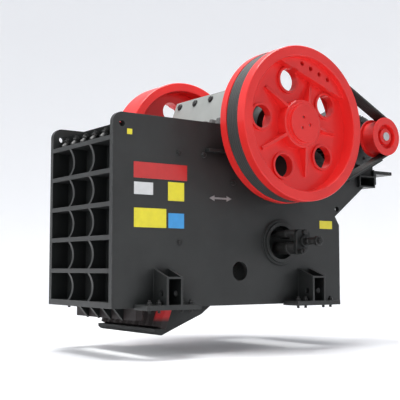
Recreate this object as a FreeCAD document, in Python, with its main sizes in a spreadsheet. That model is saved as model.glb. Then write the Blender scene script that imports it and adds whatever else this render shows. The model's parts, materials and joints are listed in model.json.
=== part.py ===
import FreeCAD, Part
import math
import os

import Sketcher

# Jaw crusher of the welded-frame, single-toggle kind, as a parametric document.
#
# X runs along the machine from the ribbed front wall to the motor, Y across it from the
# drive side to the plain side, and Z up.  The origin is the centre of the anchor stud
# rectangle, on the plane of the feet's undersides.

# Driving dimensions: millimetres and degrees, each written once.
DIMENSIONS = {
    # side plates
    "inner_width": 1178,
    "plate_thickness": 54,
    "frame_length": 2857,
    "frame_height": 1800,
    "foot_drop": 15,
    "corner_radius": 100,
    "rear_edge_drop": 964,
    "notch_run": 61,
    "notch_rise": 93,
    "arm_reach": 393,
    "arm_drop": 525,
    "arm_seat_length": 190,
    "shoulder_inset": 557,
    "access_radius": 95,
    "access_from_front": 1467,
    "access_height": 337,
    "front_lift_inset": 96,
    "front_lift_drop": 110,
    "lift_radius": 30,
    "rear_lift_inset": 29,
    "rear_lift_drop": 788,
    # feet and studs
    "feet_span": 1800,
    "front_overhang": 535,
    "foot_half_length": 300,
    "foot_reach": 225,
    "foot_base_height": 45,
    "gusset_spacing": 156,
    "gusset_thickness": 22,
    "gusset_outer_height": 285,
    "gusset_inner_height": 363,
    "gusset_hole_radius": 30,
    "gusset_hole_height": 133,
    "foot_tie_thickness": 18,
    "stud_radius": 15,
    "stud_clearance": 1.5,
    "stud_reach": 150,
    "stud_inner_offset": 125,
    "stud_outer_offset": 228,
    "stud_drop": 28,
    "stud_rise": 46,
    "stud_nut_radius": 26,
    "stud_nut_height": 24,
    # front wall
    "rib_depth": 180,
    "rib_thickness": 42,
    "bottom_rib_thickness": 56,
    "top_rib_drop": 217,
    "wall_thickness": 110,
    "wall_top_drop": 150,
    "arch_thickness": 36,
    "arch_rise": 46,
    "arch_edge_inset": 4,
    "arch_back_depth": 60,
    "first_arch_from_near": 450,
    "arch_spacing": 408,
    "fin_thickness": 34,
    "fin_depth": 127,
    "fin_spacing": 228,
    # jaws
    "die_root": 70,
    "die_tooth": 40,
    "die_side_gap": 4,
    "die_drop": 118,
    "wedge_bar_height": 62,
    "wedge_stud_radius": 22,
    "wedge_stud_length": 98,
    "wedge_stud_spacing": 200,
    "wedge_overhang": 82,
    "cheek_thickness": 30,
    "jaw_side_gap": 8,
    "jaw_angle": 20.5,
    "jaw_face_offset": 400,
    "jaw_barrel_radius": 385,
    "jaw_flange_height": 300,
    "jaw_flange_thickness": 30,
    "jaw_body_depth": 210,
    "jaw_die_top": 70,
    "jaw_die_length": 2212,
    "guard_thickness": 22,
    "guard_length": 350,
    "guard_side_inset": 22,
    "guard_bolt_radius": 40,
    "guard_bolt_height": 18,
    "guard_bolt_spacing": 290,
    "guard_bolt_drop": 62,
    "toe_front": 523,
    "toe_top_drop": 204,
    "toe_bottom_drop": 266,
    "toe_panel_thickness": 34,
    "toe_rear": 1060,
    "toe_rear_drop": 80,
    "toe_heel": 1163,
    "toe_heel_drop": 6,
    "toe_floor_thickness": 36,
    # toggle
    "toggle_pivot_x": 1830,
    "toggle_pivot_z": 535,
    "toggle_length": 742,
    "toggle_angle": 30.4,
    "toggle_thickness": 60,
    "toggle_end_radius": 45,
    "toggle_side_gap": 60,
    "toggle_free_gap": 14,
    "toggle_beam_depth": 400,
    "toggle_beam_bottom": 430,
    "toggle_beam_top": 840,
    # rear wall
    "rear_wall_inset": 250,
    "rear_wall_thickness": 50,
    "rear_wall_height": 820,
    # shaft, bearings and wheels
    "shaft_from_front": 1814,
    "shaft_drop": 20,
    "shaft_radius": 130,
    "shaft_end_radius": 105,
    "journal_radius": 150,
    "running_gap": 0.3,
    "bearing_radius": 300,
    "bearing_flange_radius": 350,
    "bearing_flange_thickness": 40,
    "bearing_reach": 165,
    "bearing_seat_gap": 0.3,
    "ledge_half_length": 770,
    "ledge_drop": 294,
    "ledge_height": 26,
    "ledge_depth": 60,
    "wheel_radius": 768,
    "wheel_width": 377,
    "near_wheel_gap": 230,
    "far_wheel_gap": 171,
    "rim_depth": 100,
    "web_depth": 150,
    "web_thickness": 60,
    "hub_radius": 206,
    "hub_step_radius": 238,
    "hub_step_depth": 34,
    "wheel_hole_radius": 112,
    "wheel_hole_pitch": 453,
    "wheel_hole_angle": 31,
    "wheel_chamfer": 7,
    "lip_radius": 134,
    "lip_height": 24,
    "wheel_rib_thickness": 30,
    "wheel_rib_height": 112,
    "wheel_rib_reach": 520,
    "wheel_rib_end": 22,
    "weight_chord": 488,
    "weight_angle": 71,
    "weight_face_depth": 62,
    "weight_bolt_distance": 582,
    "weight_bolt_spacing": 122,
    "weight_bolt_radius": 24,
    "weight_bolt_depth": 70,
    "groove_depth": 34,
    "belt_width": 166,
    "belt_thickness": 23,
    "belt_gap": 6,
    "belt_from_face": 196,
    "hub_disc_radius": 184,
    "hub_disc_thickness": 20,
    "hub_disc_hole_radius": 16,
    "hub_disc_hole_pitch": 62,
    # motor and its seat
    "motor_reach": 1261,
    "motor_drop": 3,
    "motor_tilt": 26.5,
    "motor_axis_height": 315,
    "motor_base_thickness": 40,
    "motor_base_half_length": 300,
    "motor_base_overhang": 70,
    "motor_base_width": 600,
    "motor_radius": 300,
    "motor_length": 930,
    "motor_front_gap": 81,
    "motor_foot_length": 420,
    "motor_foot_start": 60,
    "motor_foot_half_width": 260,
    "motor_shaft_radius": 45,
    "motor_bore_depth": 90,
    "pulley_radius": 205,
    "pulley_width": 200,
    "pulley_recess": 70,
    "beam_width": 250,
    "beam_height": 130,
    "beam_wall": 16,
    "beam_overhang": 40,
    "saddle_thickness": 40,
    "tension_plate_length": 300,
    "tension_plate_width": 260,
    "tension_plate_thickness": 38,
    "tension_plate_rise": 32,
    "tension_screw_radius": 24,
    # wedge adjuster
    "adjuster_x": 1990,
    "adjuster_z": 630,
    "ring_radius": 230,
    "ring_inner_radius": 172,
    "ring_thickness": 40,
    "ring_step_radius": 205,
    "ring_step_thickness": 22,
    "ram_radius": 68,
    "ram_length": 300,
    "small_ram_radius": 38,
    "adjuster_plate_thickness": 45,
    "adjuster_plate_width": 240,
    "adjuster_plate_height": 262,
    "long_rod_radius": 36,
    "long_rod_length": 245,
    "short_rod_radius": 27,
    "short_rod_length": 90,
    # blank marker plates
    "marker_thickness": 3,
    "side_bolt_radius": 30,
    "side_bolt_height": 20,
}


class Size:
    """A value with the sheet formula that gives it, so that both are worked out alike."""

    def __init__(self, formula, value):
        self.formula = formula
        self.value = value

    def __add__(self, other):
        other = as_size(other)
        return Size(f"({self.formula} + {other.formula})", self.value + other.value)

    def __sub__(self, other):
        other = as_size(other)
        return Size(f"({self.formula} - {other.formula})", self.value - other.value)

    def __mul__(self, other):
        other = as_size(other)
        return Size(f"({self.formula} * {other.formula})", self.value * other.value)

    def __truediv__(self, other):
        other = as_size(other)
        return Size(f"({self.formula} / {other.formula})", self.value / other.value)

    def __neg__(self):
        return Size(f"(-1 * {self.formula})", -self.value)


def as_size(number):
    """Wrap a bare number, and leave a Size as it is."""
    if isinstance(number, Size):
        return number
    return Size(repr(float(number)), float(number))


def sine(angle):
    """Sine of a size in degrees."""
    return Size(f"sin({angle.formula} * 1 deg)", math.sin(math.radians(angle.value)))


def cosine(angle):
    """Cosine of a size in degrees."""
    return Size(f"cos({angle.formula} * 1 deg)", math.cos(math.radians(angle.value)))


doc = FreeCAD.newDocument("JawCrusher")
sheet = doc.addObject("Spreadsheet::Sheet", "Sizes")
for row, (alias, number) in enumerate(DIMENSIONS.items(), start=1):
    sheet.set(f"A{row}", alias)
    sheet.set(f"B{row}", str(number))
    sheet.setAlias(f"B{row}", alias)
doc.recompute()


def dim(alias):
    """The named size as the sheet holds it."""
    return Size(f"Sizes.{alias}", float(sheet.get(alias)))


nodes = []


def keep(shape_object, name):
    """Label a finished sub-part and list it for export."""
    shape_object.Label = name
    nodes.append(shape_object)
    return shape_object


def bind(target, **formulas):
    """Bind properties, written with __ for a dot, to formulas."""
    for prop, size in formulas.items():
        target.setExpression(prop.replace("__", "."), as_size(size).formula)


def move(target, x=0, y=0, z=0):
    """Bind an object's position."""
    bind(target, Placement__Base__x=x, Placement__Base__y=y, Placement__Base__z=z)
    return target


def turn_about_y(target, degrees):
    """Turn an object about its own Y axis; a positive turn tips +Z towards +X."""
    target.Placement.Rotation = FreeCAD.Rotation(FreeCAD.Vector(0, 1, 0), degrees)
    return target


def origin_plane(body, role):
    return next(item for item in body.Origin.OriginFeatures if item.Role == role)


def new_sketch(body, role, name):
    """A sketch on one of the body's own origin planes."""
    sketch = body.newObject("Sketcher::SketchObject", name)
    sketch.AttachmentSupport = (origin_plane(body, role), [""])
    sketch.MapMode = "FlatFace"
    return sketch


def pin_point(sketch, geometry, point, across, up):
    """Hold a sketch point at two sizes measured from the sketch's origin."""
    for kind, size in (("DistanceX", across), ("DistanceY", up)):
        constraint = Sketcher.Constraint(kind, -1, 1, geometry, point, size.value)
        index = sketch.addConstraint(constraint)
        sketch.setExpression(f"Constraints[{index}]", size.formula)


def draw_outline(sketch, points):
    """A closed outline of straight lines through (across, up) pairs."""
    points = [(as_size(across), as_size(up)) for across, up in points]
    first = sketch.GeometryCount
    vectors = [FreeCAD.Vector(across.value, up.value, 0) for across, up in points]
    for start, end in zip(vectors, vectors[1:] + vectors[:1]):
        sketch.addGeometry(Part.LineSegment(start, end), False)
    for index, (across, up) in enumerate(points):
        following = (index + 1) % len(points)
        sketch.addConstraint(Sketcher.Constraint("Coincident", first + index, 2, first + following, 1))
        pin_point(sketch, first + index, 1, across, up)


def draw_circle(sketch, across, up, radius):
    """A circle whose centre and radius are bound to the sheet."""
    across = as_size(across)
    up = as_size(up)
    centre = FreeCAD.Vector(across.value, up.value, 0)
    circle = sketch.addGeometry(Part.Circle(centre, FreeCAD.Vector(0, 0, 1), radius.value), False)
    pin_point(sketch, circle, 3, across, up)
    index = sketch.addConstraint(Sketcher.Constraint("Radius", circle, radius.value))
    sketch.setExpression(f"Constraints[{index}]", radius.formula)


def padded(name, role, points, thickness, circles=()):
    """A body padded from an outline: along +Y from XZ_Plane, +Z from XY_Plane, +X from YZ_Plane."""
    body = doc.addObject("PartDesign::Body", name)
    sketch = new_sketch(body, role, f"{name}_outline")
    draw_outline(sketch, points)
    for across, up, radius in circles:
        draw_circle(sketch, across, up, radius)
    pad = body.newObject("PartDesign::Pad", f"{name}_pad")
    pad.Profile = sketch
    pad.Reversed = role == "XZ_Plane"
    bind(pad, Length=thickness)
    return body


def revolved(name, points):
    """A body turned about the Y axis from an outline of (along Y, radius) points."""
    body = doc.addObject("PartDesign::Body", name)
    sketch = new_sketch(body, "YZ_Plane", f"{name}_half")
    draw_outline(sketch, points)
    turned = body.newObject("PartDesign::Revolution", f"{name}_turned")
    turned.Profile = sketch
    turned.ReferenceAxis = (sketch, ["H_Axis"])
    turned.Angle = 360
    return body


def box(name, length, width, height, x=0, y=0, z=0):
    """A block from its lowest corner."""
    block = doc.addObject("Part::Box", name)
    bind(block, Length=length, Width=width, Height=height)
    return move(block, x, y, z)


def rod_along_y(name, radius, length, x=0, y=0, z=0):
    """A cylinder running along +Y from its start."""
    rod = doc.addObject("Part::Cylinder", name)
    rod.Placement.Rotation = FreeCAD.Rotation(FreeCAD.Vector(1, 0, 0), -90)
    bind(rod, Radius=radius, Height=length)
    return move(rod, x, y, z)


def rod_along_z(name, radius, length, x=0, y=0, z=0):
    """A cylinder running along +Z from its start."""
    rod = doc.addObject("Part::Cylinder", name)
    bind(rod, Radius=radius, Height=length)
    return move(rod, x, y, z)


def hexagon(name, radius, height, x=0, y=0, z=0):
    """A six-sided nut or head standing along +Z."""
    prism = doc.addObject("Part::Prism", name)
    prism.Polygon = 6
    bind(prism, Circumradius=radius, Height=height)
    return move(prism, x, y, z)


def fused(name, pieces):
    joined = doc.addObject("Part::MultiFuse", name)
    joined.Shapes = pieces
    return joined


def group(name, pieces):
    """Like pieces that don't touch, kept as separate solids of one sub-part."""
    together = doc.addObject("Part::Compound", name)
    together.Links = pieces
    return together


def cut(name, base, tools):
    """The base with every tool taken away."""
    tool = tools[0]
    if len(tools) > 1:
        tool = fused(f"{name}_tools", tools)
    result = doc.addObject("Part::Cut", name)
    result.Base = base
    result.Tool = tool
    return result


def round_edges(body, name, radius, places):
    """Fillet the edges along Y that stand at the given (x, z) places of the body."""
    doc.recompute()
    base = body.Tip
    chosen = []
    for number, edge in enumerate(base.Shape.Edges, start=1):
        span = edge.BoundBox
        for x, z in places:
            at_place = abs(span.Center.x - x.value) < 0.5 and abs(span.Center.z - z.value) < 0.5
            if at_place and span.XLength < 0.01 and span.ZLength < 0.01:
                chosen.append(f"Edge{number}")
    fillet = body.newObject("PartDesign::Fillet", name)
    fillet.Base = (base, chosen)
    bind(fillet, Radius=radius)
    return fillet


# Places that several sub-parts share.
front = -(dim("feet_span") / 2 + dim("front_overhang"))
rear = front + dim("frame_length")
floor = dim("foot_drop")
top = floor + dim("frame_height")
near_inner = -(dim("inner_width") / 2)
far_inner = dim("inner_width") / 2
near_outer = near_inner - dim("plate_thickness")
far_outer = far_inner + dim("plate_thickness")
shaft_x = front + dim("shaft_from_front")
shaft_z = top - dim("shaft_drop")
motor_x = shaft_x + dim("motor_reach")
motor_z = shaft_z - dim("motor_drop")
adjuster_x = front + dim("adjuster_x")
adjuster_z = floor + dim("adjuster_z")

# The motor base is a plate on a slope: these give the middle of its underside.
tilt_sine = sine(dim("motor_tilt"))
tilt_cosine = cosine(dim("motor_tilt"))
base_depth = dim("motor_axis_height") + dim("motor_base_thickness")
base_under_x = motor_x + base_depth * tilt_sine
base_under_z = motor_z - base_depth * tilt_cosine


def base_underside(x):
    """Height of the sloping motor base's underside at x."""
    return base_under_z + (x - base_under_x) * tilt_sine / tilt_cosine


def side_plate(name, start_y):
    """A side plate with its rear arm, bearing cradle and openings."""
    arm_tip = rear + dim("arm_reach")
    arm_top = top - dim("arm_drop")
    beam_start = arm_tip - dim("beam_width") * 0.4
    seat_start = beam_start - dim("arm_seat_length")
    outline = [
        (front, floor),
        (rear, floor),
        (rear, top - dim("rear_edge_drop")),
        (rear - dim("notch_run"), top - dim("rear_edge_drop") + dim("notch_rise")),
        (arm_tip, arm_top),
        (beam_start, arm_top),
        (beam_start, base_underside(beam_start)),
        (seat_start, base_underside(seat_start)),
        (rear - dim("shoulder_inset"), top),
        (front, top),
    ]
    circles = [
        (front + dim("access_from_front"), floor + dim("access_height"), dim("access_radius")),
        (front + dim("front_lift_inset"), top - dim("front_lift_drop"), dim("lift_radius")),
        (rear - dim("rear_lift_inset"), top - dim("rear_lift_drop"), dim("lift_radius")),
        (adjuster_x, adjuster_z, dim("ring_inner_radius")),
    ]
    body = padded(f"{name}_body", "XZ_Plane", outline, dim("plate_thickness"), circles)
    round_edges(body, f"{name}_corner", dim("corner_radius"), [(front, top)])
    cradle = rod_along_y(
        f"{name}_cradle", dim("bearing_radius") + dim("bearing_seat_gap"),
        dim("plate_thickness") * 3, shaft_x, -dim("plate_thickness"), shaft_z)
    plate = cut(name, body, [cradle])
    move(plate, 0, start_y, 0)
    return keep(plate, name)


side_plate("near_side_plate", near_outer)
side_plate("far_side_plate", far_inner)
arm_tip = rear + dim("arm_reach")
beam_start = arm_tip - dim("beam_width") * 0.4

# Front wall: a thick plate with six ribs, two columns of arched stiffeners and four fins.
wall_start = front + dim("rib_depth")
wall_back = wall_start + dim("wall_thickness")
keep(box("front_wall", dim("wall_thickness"), dim("inner_width"),
         dim("frame_height") - dim("wall_top_drop"), wall_start, near_inner, floor), "front_wall")

RIB_COUNT = 6
BAY_COUNT = RIB_COUNT - 1
bottom_rib_top = floor + dim("bottom_rib_thickness")
top_rib_top = top - dim("top_rib_drop")
rib_pitch = (top_rib_top - bottom_rib_top) / BAY_COUNT


def rib_top(index):
    """Top face of a front rib, counted from the bottom."""
    return bottom_rib_top + rib_pitch * index


def rib_height(index):
    return dim("bottom_rib_thickness") if index == 0 else dim("rib_thickness")


def front_ribs():
    ribs = []
    for index in range(RIB_COUNT):
        height = rib_height(index)
        ribs.append(box(f"front_rib_{index}", dim("rib_depth"), dim("inner_width"), height,
                        front, near_inner, rib_top(index) - height))
    return keep(group("front_ribs", ribs), "front_ribs")


front_ribs()


def arch(name, low, high, start_y):
    """One stiffener between two ribs: its free edge is a shallow arc that bows inwards."""
    edge = front + dim("arch_edge_inset")
    crown = edge + dim("arch_rise")
    middle = (low + high) / 2
    body = doc.addObject("PartDesign::Body", name)
    sketch = new_sketch(body, "XZ_Plane", f"{name}_outline")
    corners = [(edge, high), (wall_start, high), (wall_start, low), (edge, low)]
    vectors = [FreeCAD.Vector(across.value, up.value, 0) for across, up in corners]
    for start, end in zip(vectors, vectors[1:]):
        sketch.addGeometry(Part.LineSegment(start, end), False)
    crest = FreeCAD.Vector(crown.value, middle.value, 0)
    sketch.addGeometry(Part.Arc(vectors[3], crest, vectors[0]), False)
    for line in range(2):
        sketch.addConstraint(Sketcher.Constraint("Coincident", line, 2, line + 1, 1))
    for line, (across, up) in enumerate(corners[:3]):
        pin_point(sketch, line, 1, across, up)
    pin_point(sketch, 2, 2, *corners[3])
    half_chord = (high - low) / 2
    radius = (half_chord * half_chord + dim("arch_rise") * dim("arch_rise")) / (dim("arch_rise") * 2)
    pin_arc_ends(sketch, 3, 2, 2, 0, 1)
    centre_x = crown - radius
    index = sketch.addConstraint(Sketcher.Constraint("DistanceX", -1, 1, 3, 3, centre_x.value))
    sketch.setExpression(f"Constraints[{index}]", centre_x.formula)
    pad = body.newObject("PartDesign::Pad", f"{name}_pad")
    pad.Profile = sketch
    pad.Reversed = True
    bind(pad, Length=dim("arch_thickness"))
    return move(body, 0, start_y, 0)


def pin_arc_ends(sketch, arc, lower_line, lower_end, upper_line, upper_end):
    """Join an arc's two ends to the ends of two lines, whichever way the arc was drawn."""
    lower = sketch.getPoint(lower_line, lower_end)
    arc_start = sketch.getPoint(arc, 1)
    near_lower = arc_start.distanceToPoint(lower) < 1
    first, second = (1, 2) if near_lower else (2, 1)
    sketch.addConstraint(Sketcher.Constraint("Coincident", arc, first, lower_line, lower_end))
    sketch.addConstraint(Sketcher.Constraint("Coincident", arc, second, upper_line, upper_end))


def front_arches():
    arches = []
    for bay in range(BAY_COUNT):
        low = rib_top(bay)
        high = rib_top(bay + 1) - rib_height(bay + 1)
        for column in range(2):
            middle = near_outer + dim("first_arch_from_near") + dim("arch_spacing") * column
            start_y = middle - dim("arch_thickness") / 2
            arches.append(arch(f"arch_{bay}_{column}", low, high, start_y))
    return keep(group("front_arches", arches), "front_arches")


front_arches()


def lower_fins():
    """Triangular fins under the front wall that back the fixed die's lower end."""
    outline = [(wall_start, floor), (wall_back, floor - dim("fin_depth")), (wall_back, floor)]
    fins = []
    for index in range(4):
        fin = padded(f"lower_fin_{index}", "XZ_Plane", outline, dim("fin_thickness"))
        middle = dim("fin_spacing") * (index - 1.5)
        fins.append(move(fin, 0, middle - dim("fin_thickness") / 2, 0))
    return keep(group("lower_fins", fins), "lower_fins")


lower_fins()

TOOTH_COUNT = 9


def toothed_plate(name, width, length, side):
    """A die plate with trapezoid teeth that run its whole length, facing +X or -X."""
    pitch = width / TOOTH_COUNT
    root = dim("die_root") * side
    crest = (dim("die_root") + dim("die_tooth")) * side
    half = width / 2
    points = [(0, half), (0, -half)]
    for tooth in range(TOOTH_COUNT):
        start = pitch * tooth - half
        points.append((root, start + (pitch * 0.08 if tooth == 0 else pitch * 0.1)))
        points.append((crest, start + pitch * 0.32))
        points.append((crest, start + pitch * 0.68))
        points.append((root, start + pitch * 0.9))
    points[2] = (root, -half)
    points[-1] = (root, half)
    return padded(name, "XY_Plane", points, length)


die_bottom = floor - dim("die_drop")
fixed_die_top = top - dim("wall_top_drop")
fixed_die = toothed_plate("fixed_jaw_die", dim("inner_width") - dim("die_side_gap") * 2,
                          fixed_die_top - die_bottom, 1)
keep(move(fixed_die, wall_back, 0, die_bottom), "fixed_jaw_die")

# The wedge bar holds down the fixed die; its front overhang has a seat at 45 degrees for the studs.
wedge_overhang = dim("wedge_overhang")
wedge_bar_top = fixed_die_top + dim("wedge_bar_height")
wedge_toe = fixed_die_top - (wedge_overhang - dim("wedge_bar_height"))
wedge_bar = padded("jaw_wedge_bar", "XZ_Plane", [
    (wall_start, wedge_toe),
    (wall_start, fixed_die_top),
    (wall_back + dim("die_root"), fixed_die_top),
    (wall_back + dim("die_root"), wedge_bar_top),
    (wall_start - wedge_overhang, wedge_bar_top),
], dim("inner_width") - dim("die_side_gap") * 2)
keep(move(wedge_bar, 0, near_inner + dim("die_side_gap"), 0), "jaw_wedge_bar")


def wedge_studs():
    """Studs square to the wedge bar's sloping seat, each with a nut against it."""
    seat_x = wall_start - wedge_overhang / 2
    seat_z = wedge_bar_top - wedge_overhang / 2
    studs = []
    for index in range(6):
        stud = rod_along_z(f"wedge_stud_rod_{index}", dim("wedge_stud_radius"), dim("wedge_stud_length"))
        nut = hexagon(f"wedge_stud_nut_{index}", dim("wedge_stud_radius") * 1.8, dim("wedge_stud_radius"))
        piece = fused(f"wedge_stud_{index}", [stud, nut])
        turn_about_y(piece, -135)
        studs.append(move(piece, seat_x, dim("wedge_stud_spacing") * (index - 2.5), seat_z))
    return keep(group("jaw_wedge_studs", studs), "jaw_wedge_studs")


wedge_studs()
fixed_face = wall_back + dim("die_root") + dim("die_tooth")

# Swing jaw: everything is measured in a frame that leans with the jaw's face.  Offset is
# the distance in front of the shaft, and climb is the distance up along the face.
lean_sine = sine(dim("jaw_angle"))
lean_cosine = cosine(dim("jaw_angle"))


def on_jaw(offset, climb):
    """Machine x and z of a point given in the leaning frame."""
    offset = as_size(offset)
    climb = as_size(climb)
    x = shaft_x - offset * lean_cosine + climb * lean_sine
    z = shaft_z + offset * lean_sine + climb * lean_cosine
    return (x, z)


def face_at_height(z):
    """The point of the pitman's front face at a height."""
    climb = (z - shaft_z - dim("jaw_face_offset") * lean_sine) / lean_cosine
    return on_jaw(dim("jaw_face_offset"), climb)


jaw_near = near_inner + dim("cheek_thickness") + dim("jaw_side_gap")
jaw_width = dim("inner_width") - (dim("cheek_thickness") + dim("jaw_side_gap")) * 2
toe_x = front + dim("toe_front")
toe_top = floor - dim("toe_top_drop")
toe_bottom = floor - dim("toe_bottom_drop")
pivot_x = front + dim("toggle_pivot_x")
pivot_z = floor + dim("toggle_pivot_z")
toggle_cosine = cosine(dim("toggle_angle"))
toggle_sine = sine(dim("toggle_angle"))
free_x = pivot_x - dim("toggle_length") * toggle_cosine
free_z = pivot_z - dim("toggle_length") * toggle_sine
socket_depth = dim("toggle_end_radius") + dim("toggle_free_gap")
die_end_climb = -dim("jaw_die_top") - dim("jaw_die_length")
pitman_foot = on_jaw(dim("jaw_face_offset"), die_end_climb)
toe_rear = (front + dim("toe_rear"), floor - dim("toe_rear_drop"))
toe_heel = (front + dim("toe_heel"), floor - dim("toe_heel_drop"))
pitman_heel = (toe_rear[0] - 20, toe_rear[1] + dim("toe_floor_thickness"))
pitman_hock = (toe_heel[0], pitman_heel[1] + (toe_heel[1] - toe_rear[1]))
socket_back = free_x + 25


def pitman():
    """The swing jaw's casting: barrel on the shaft, leaning slab, heel and upper flange."""
    face = dim("jaw_face_offset")
    outline = [
        on_jaw(face + dim("jaw_flange_thickness"), dim("jaw_flange_height")),
        on_jaw(face + dim("jaw_flange_thickness"), -dim("jaw_die_top")),
        on_jaw(face, -dim("jaw_die_top")),
        pitman_foot,
        pitman_heel,
        pitman_hock,
        (socket_back, free_z - 100),
        (socket_back, free_z + 90),
        on_jaw(face - dim("jaw_body_depth") - 120, -1000),
        on_jaw(-200, -320),
        on_jaw(face - 150, 0),
        on_jaw(face - 100, 150),
        on_jaw(face, dim("jaw_flange_height")),
    ]
    slab = padded("pitman_slab", "XZ_Plane", outline, jaw_width - dim("toe_panel_thickness") * 2)
    move(slab, 0, jaw_near + dim("toe_panel_thickness"), 0)
    barrel = rod_along_y("pitman_barrel", dim("jaw_barrel_radius"), jaw_width, shaft_x, jaw_near, shaft_z)
    casting = fused("pitman_casting", [slab, barrel])
    bore = rod_along_y("pitman_bore", dim("journal_radius") + dim("running_gap"),
                       jaw_width + 200, shaft_x, jaw_near - 100, shaft_z)
    socket = rod_along_y("pitman_socket", socket_depth, jaw_width + 200, free_x, jaw_near - 100, free_z)
    slot = box("pitman_slot", socket_depth * 3, jaw_width + 200, socket_depth * 1.7,
               free_x, jaw_near - 100, free_z - socket_depth * 0.62)
    return keep(cut("pitman", casting, [bore, socket, slot]), "pitman")


pitman()


def jaw_toe():
    """The toe: a lip under the die, a sloping floor, and a panel at each side of the heel."""
    die_front = on_jaw(dim("jaw_face_offset") + dim("die_root") + dim("die_tooth"), die_end_climb)
    run = (die_front[1] - toe_top) / (die_front[1] - pitman_foot[1])
    lip_top_end = (die_front[0] + (pitman_foot[0] - die_front[0]) * run, toe_top)
    lip_outline = [
        (toe_x, toe_top),
        (toe_x, toe_top - 28),
        (toe_x + 22, toe_bottom + 12),
        (toe_x + 50, toe_bottom + 2),
        (toe_x + 74, toe_bottom),
        (toe_x + 100, toe_bottom + 10),
        toe_rear,
        toe_heel,
        pitman_hock,
        pitman_heel,
        pitman_foot,
        lip_top_end,
    ]
    lip = padded("jaw_toe_lip", "XZ_Plane", lip_outline, jaw_width)
    move(lip, 0, jaw_near, 0)
    face_high = face_at_height(floor + 160)
    panel_outline = [pitman_foot, toe_rear, toe_heel,
                     (toe_heel[0] + 30, floor + 60), (toe_heel[0] - 60, floor + 300), face_high]
    panels = []
    for index, start_y in enumerate((jaw_near, jaw_near + jaw_width - dim("toe_panel_thickness"))):
        panel = padded(f"jaw_toe_panel_{index}", "XZ_Plane", panel_outline, dim("toe_panel_thickness"))
        panels.append(move(panel, 0, start_y, 0))
    return keep(fused("jaw_toe", [lip] + panels), "jaw_toe")


jaw_toe()

swing_die = toothed_plate("swing_jaw_die", jaw_width, dim("jaw_die_length"), -1)
turn_about_y(swing_die, DIMENSIONS["jaw_angle"])
die_low = on_jaw(dim("jaw_face_offset"), die_end_climb)
keep(move(swing_die, die_low[0], jaw_near + jaw_width / 2, die_low[1]), "swing_jaw_die")

guard_offset = dim("jaw_face_offset") + dim("jaw_flange_thickness")
guard_low = on_jaw(guard_offset + dim("guard_thickness"), dim("jaw_flange_height") - dim("guard_length"))
guard = box("guard_plate", dim("guard_thickness"), jaw_width - dim("guard_side_inset") * 2, dim("guard_length"))
turn_about_y(guard, DIMENSIONS["jaw_angle"])
keep(move(guard, guard_low[0], jaw_near + dim("guard_side_inset"), guard_low[1]), "guard_plate")


def guard_bolts():
    bolts = []
    seat = on_jaw(guard_offset + dim("guard_thickness") + dim("guard_bolt_height"),
                  dim("jaw_flange_height") - dim("guard_bolt_drop"))
    for index in range(4):
        head = hexagon(f"guard_bolt_{index}", dim("guard_bolt_radius"), dim("guard_bolt_height"))
        turn_about_y(head, 90 + DIMENSIONS["jaw_angle"])
        middle = jaw_near + jaw_width / 2 + dim("guard_bolt_spacing") * (index - 1.5)
        bolts.append(move(head, seat[0], middle, seat[1]))
    return keep(group("guard_bolts", bolts), "guard_bolts")


guard_bolts()


def cheek_plates():
    """Wear plates on the side plates' inner faces, an upper and a lower one each side."""
    front_edge = fixed_face + 4
    low = floor + 40
    middle = floor + 890
    high = top - dim("wall_top_drop") - 40
    outlines = {
        "lower": [(front_edge, low), (front + 900, low), (front + 1150, middle), (front_edge, middle)],
        "upper": [(front_edge, middle + 10), (front + 1150, middle + 10), (front + 1400, high), (front_edge, high)],
    }
    plates = []
    for level, outline in outlines.items():
        for side, start_y in (("near", near_inner), ("far", far_inner - dim("cheek_thickness"))):
            plate = padded(f"cheek_{side}_{level}", "XZ_Plane", outline, dim("cheek_thickness"))
            plates.append(move(plate, 0, start_y, 0))
    return keep(group("cheek_plates", plates), "cheek_plates")


cheek_plates()


def side_bolts():
    """Bolt heads on the outer faces, where the cheek plates are held."""
    places = [(727, 1471), (1019, 1466), (736, 611), (1380, 1216)]
    heads = []
    for index, (along, up) in enumerate(places):
        for side, start_y in (("near", near_outer - dim("side_bolt_height")), ("far", far_outer)):
            heads.append(rod_along_y(f"side_bolt_{side}_{index}", dim("side_bolt_radius"),
                                     dim("side_bolt_height"), front + along, start_y, floor + up))
    return keep(group("side_bolts", heads), "side_bolts")


side_bolts()

# Rear of the frame.
toggle_beam = box("toggle_beam_block", dim("toggle_beam_depth"), dim("inner_width"),
                  dim("toggle_beam_top") - dim("toggle_beam_bottom"),
                  pivot_x, near_inner, floor + dim("toggle_beam_bottom"))
seat_groove = rod_along_y("toggle_seat", dim("toggle_end_radius") + dim("running_gap"),
                          dim("inner_width") + 200, pivot_x, near_inner - 100, pivot_z)
keep(cut("toggle_beam", toggle_beam, [seat_groove]), "toggle_beam")

rear_wall_x = rear - dim("rear_wall_inset")
keep(box("rear_wall", dim("rear_wall_thickness"), dim("inner_width"), dim("rear_wall_height"),
         rear_wall_x, near_inner, floor), "rear_wall")


def rear_ribs():
    start = rear_wall_x + dim("rear_wall_thickness")
    depth = dim("rear_wall_inset") - dim("rear_wall_thickness")
    pitch = (dim("rear_wall_height") - dim("rib_thickness")) / 3
    ribs = []
    for index in range(4):
        ribs.append(box(f"rear_rib_{index}", depth, dim("inner_width"), dim("rib_thickness"),
                        start, near_inner, floor + pitch * index))
    return keep(group("rear_ribs", ribs), "rear_ribs")


rear_ribs()


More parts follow.
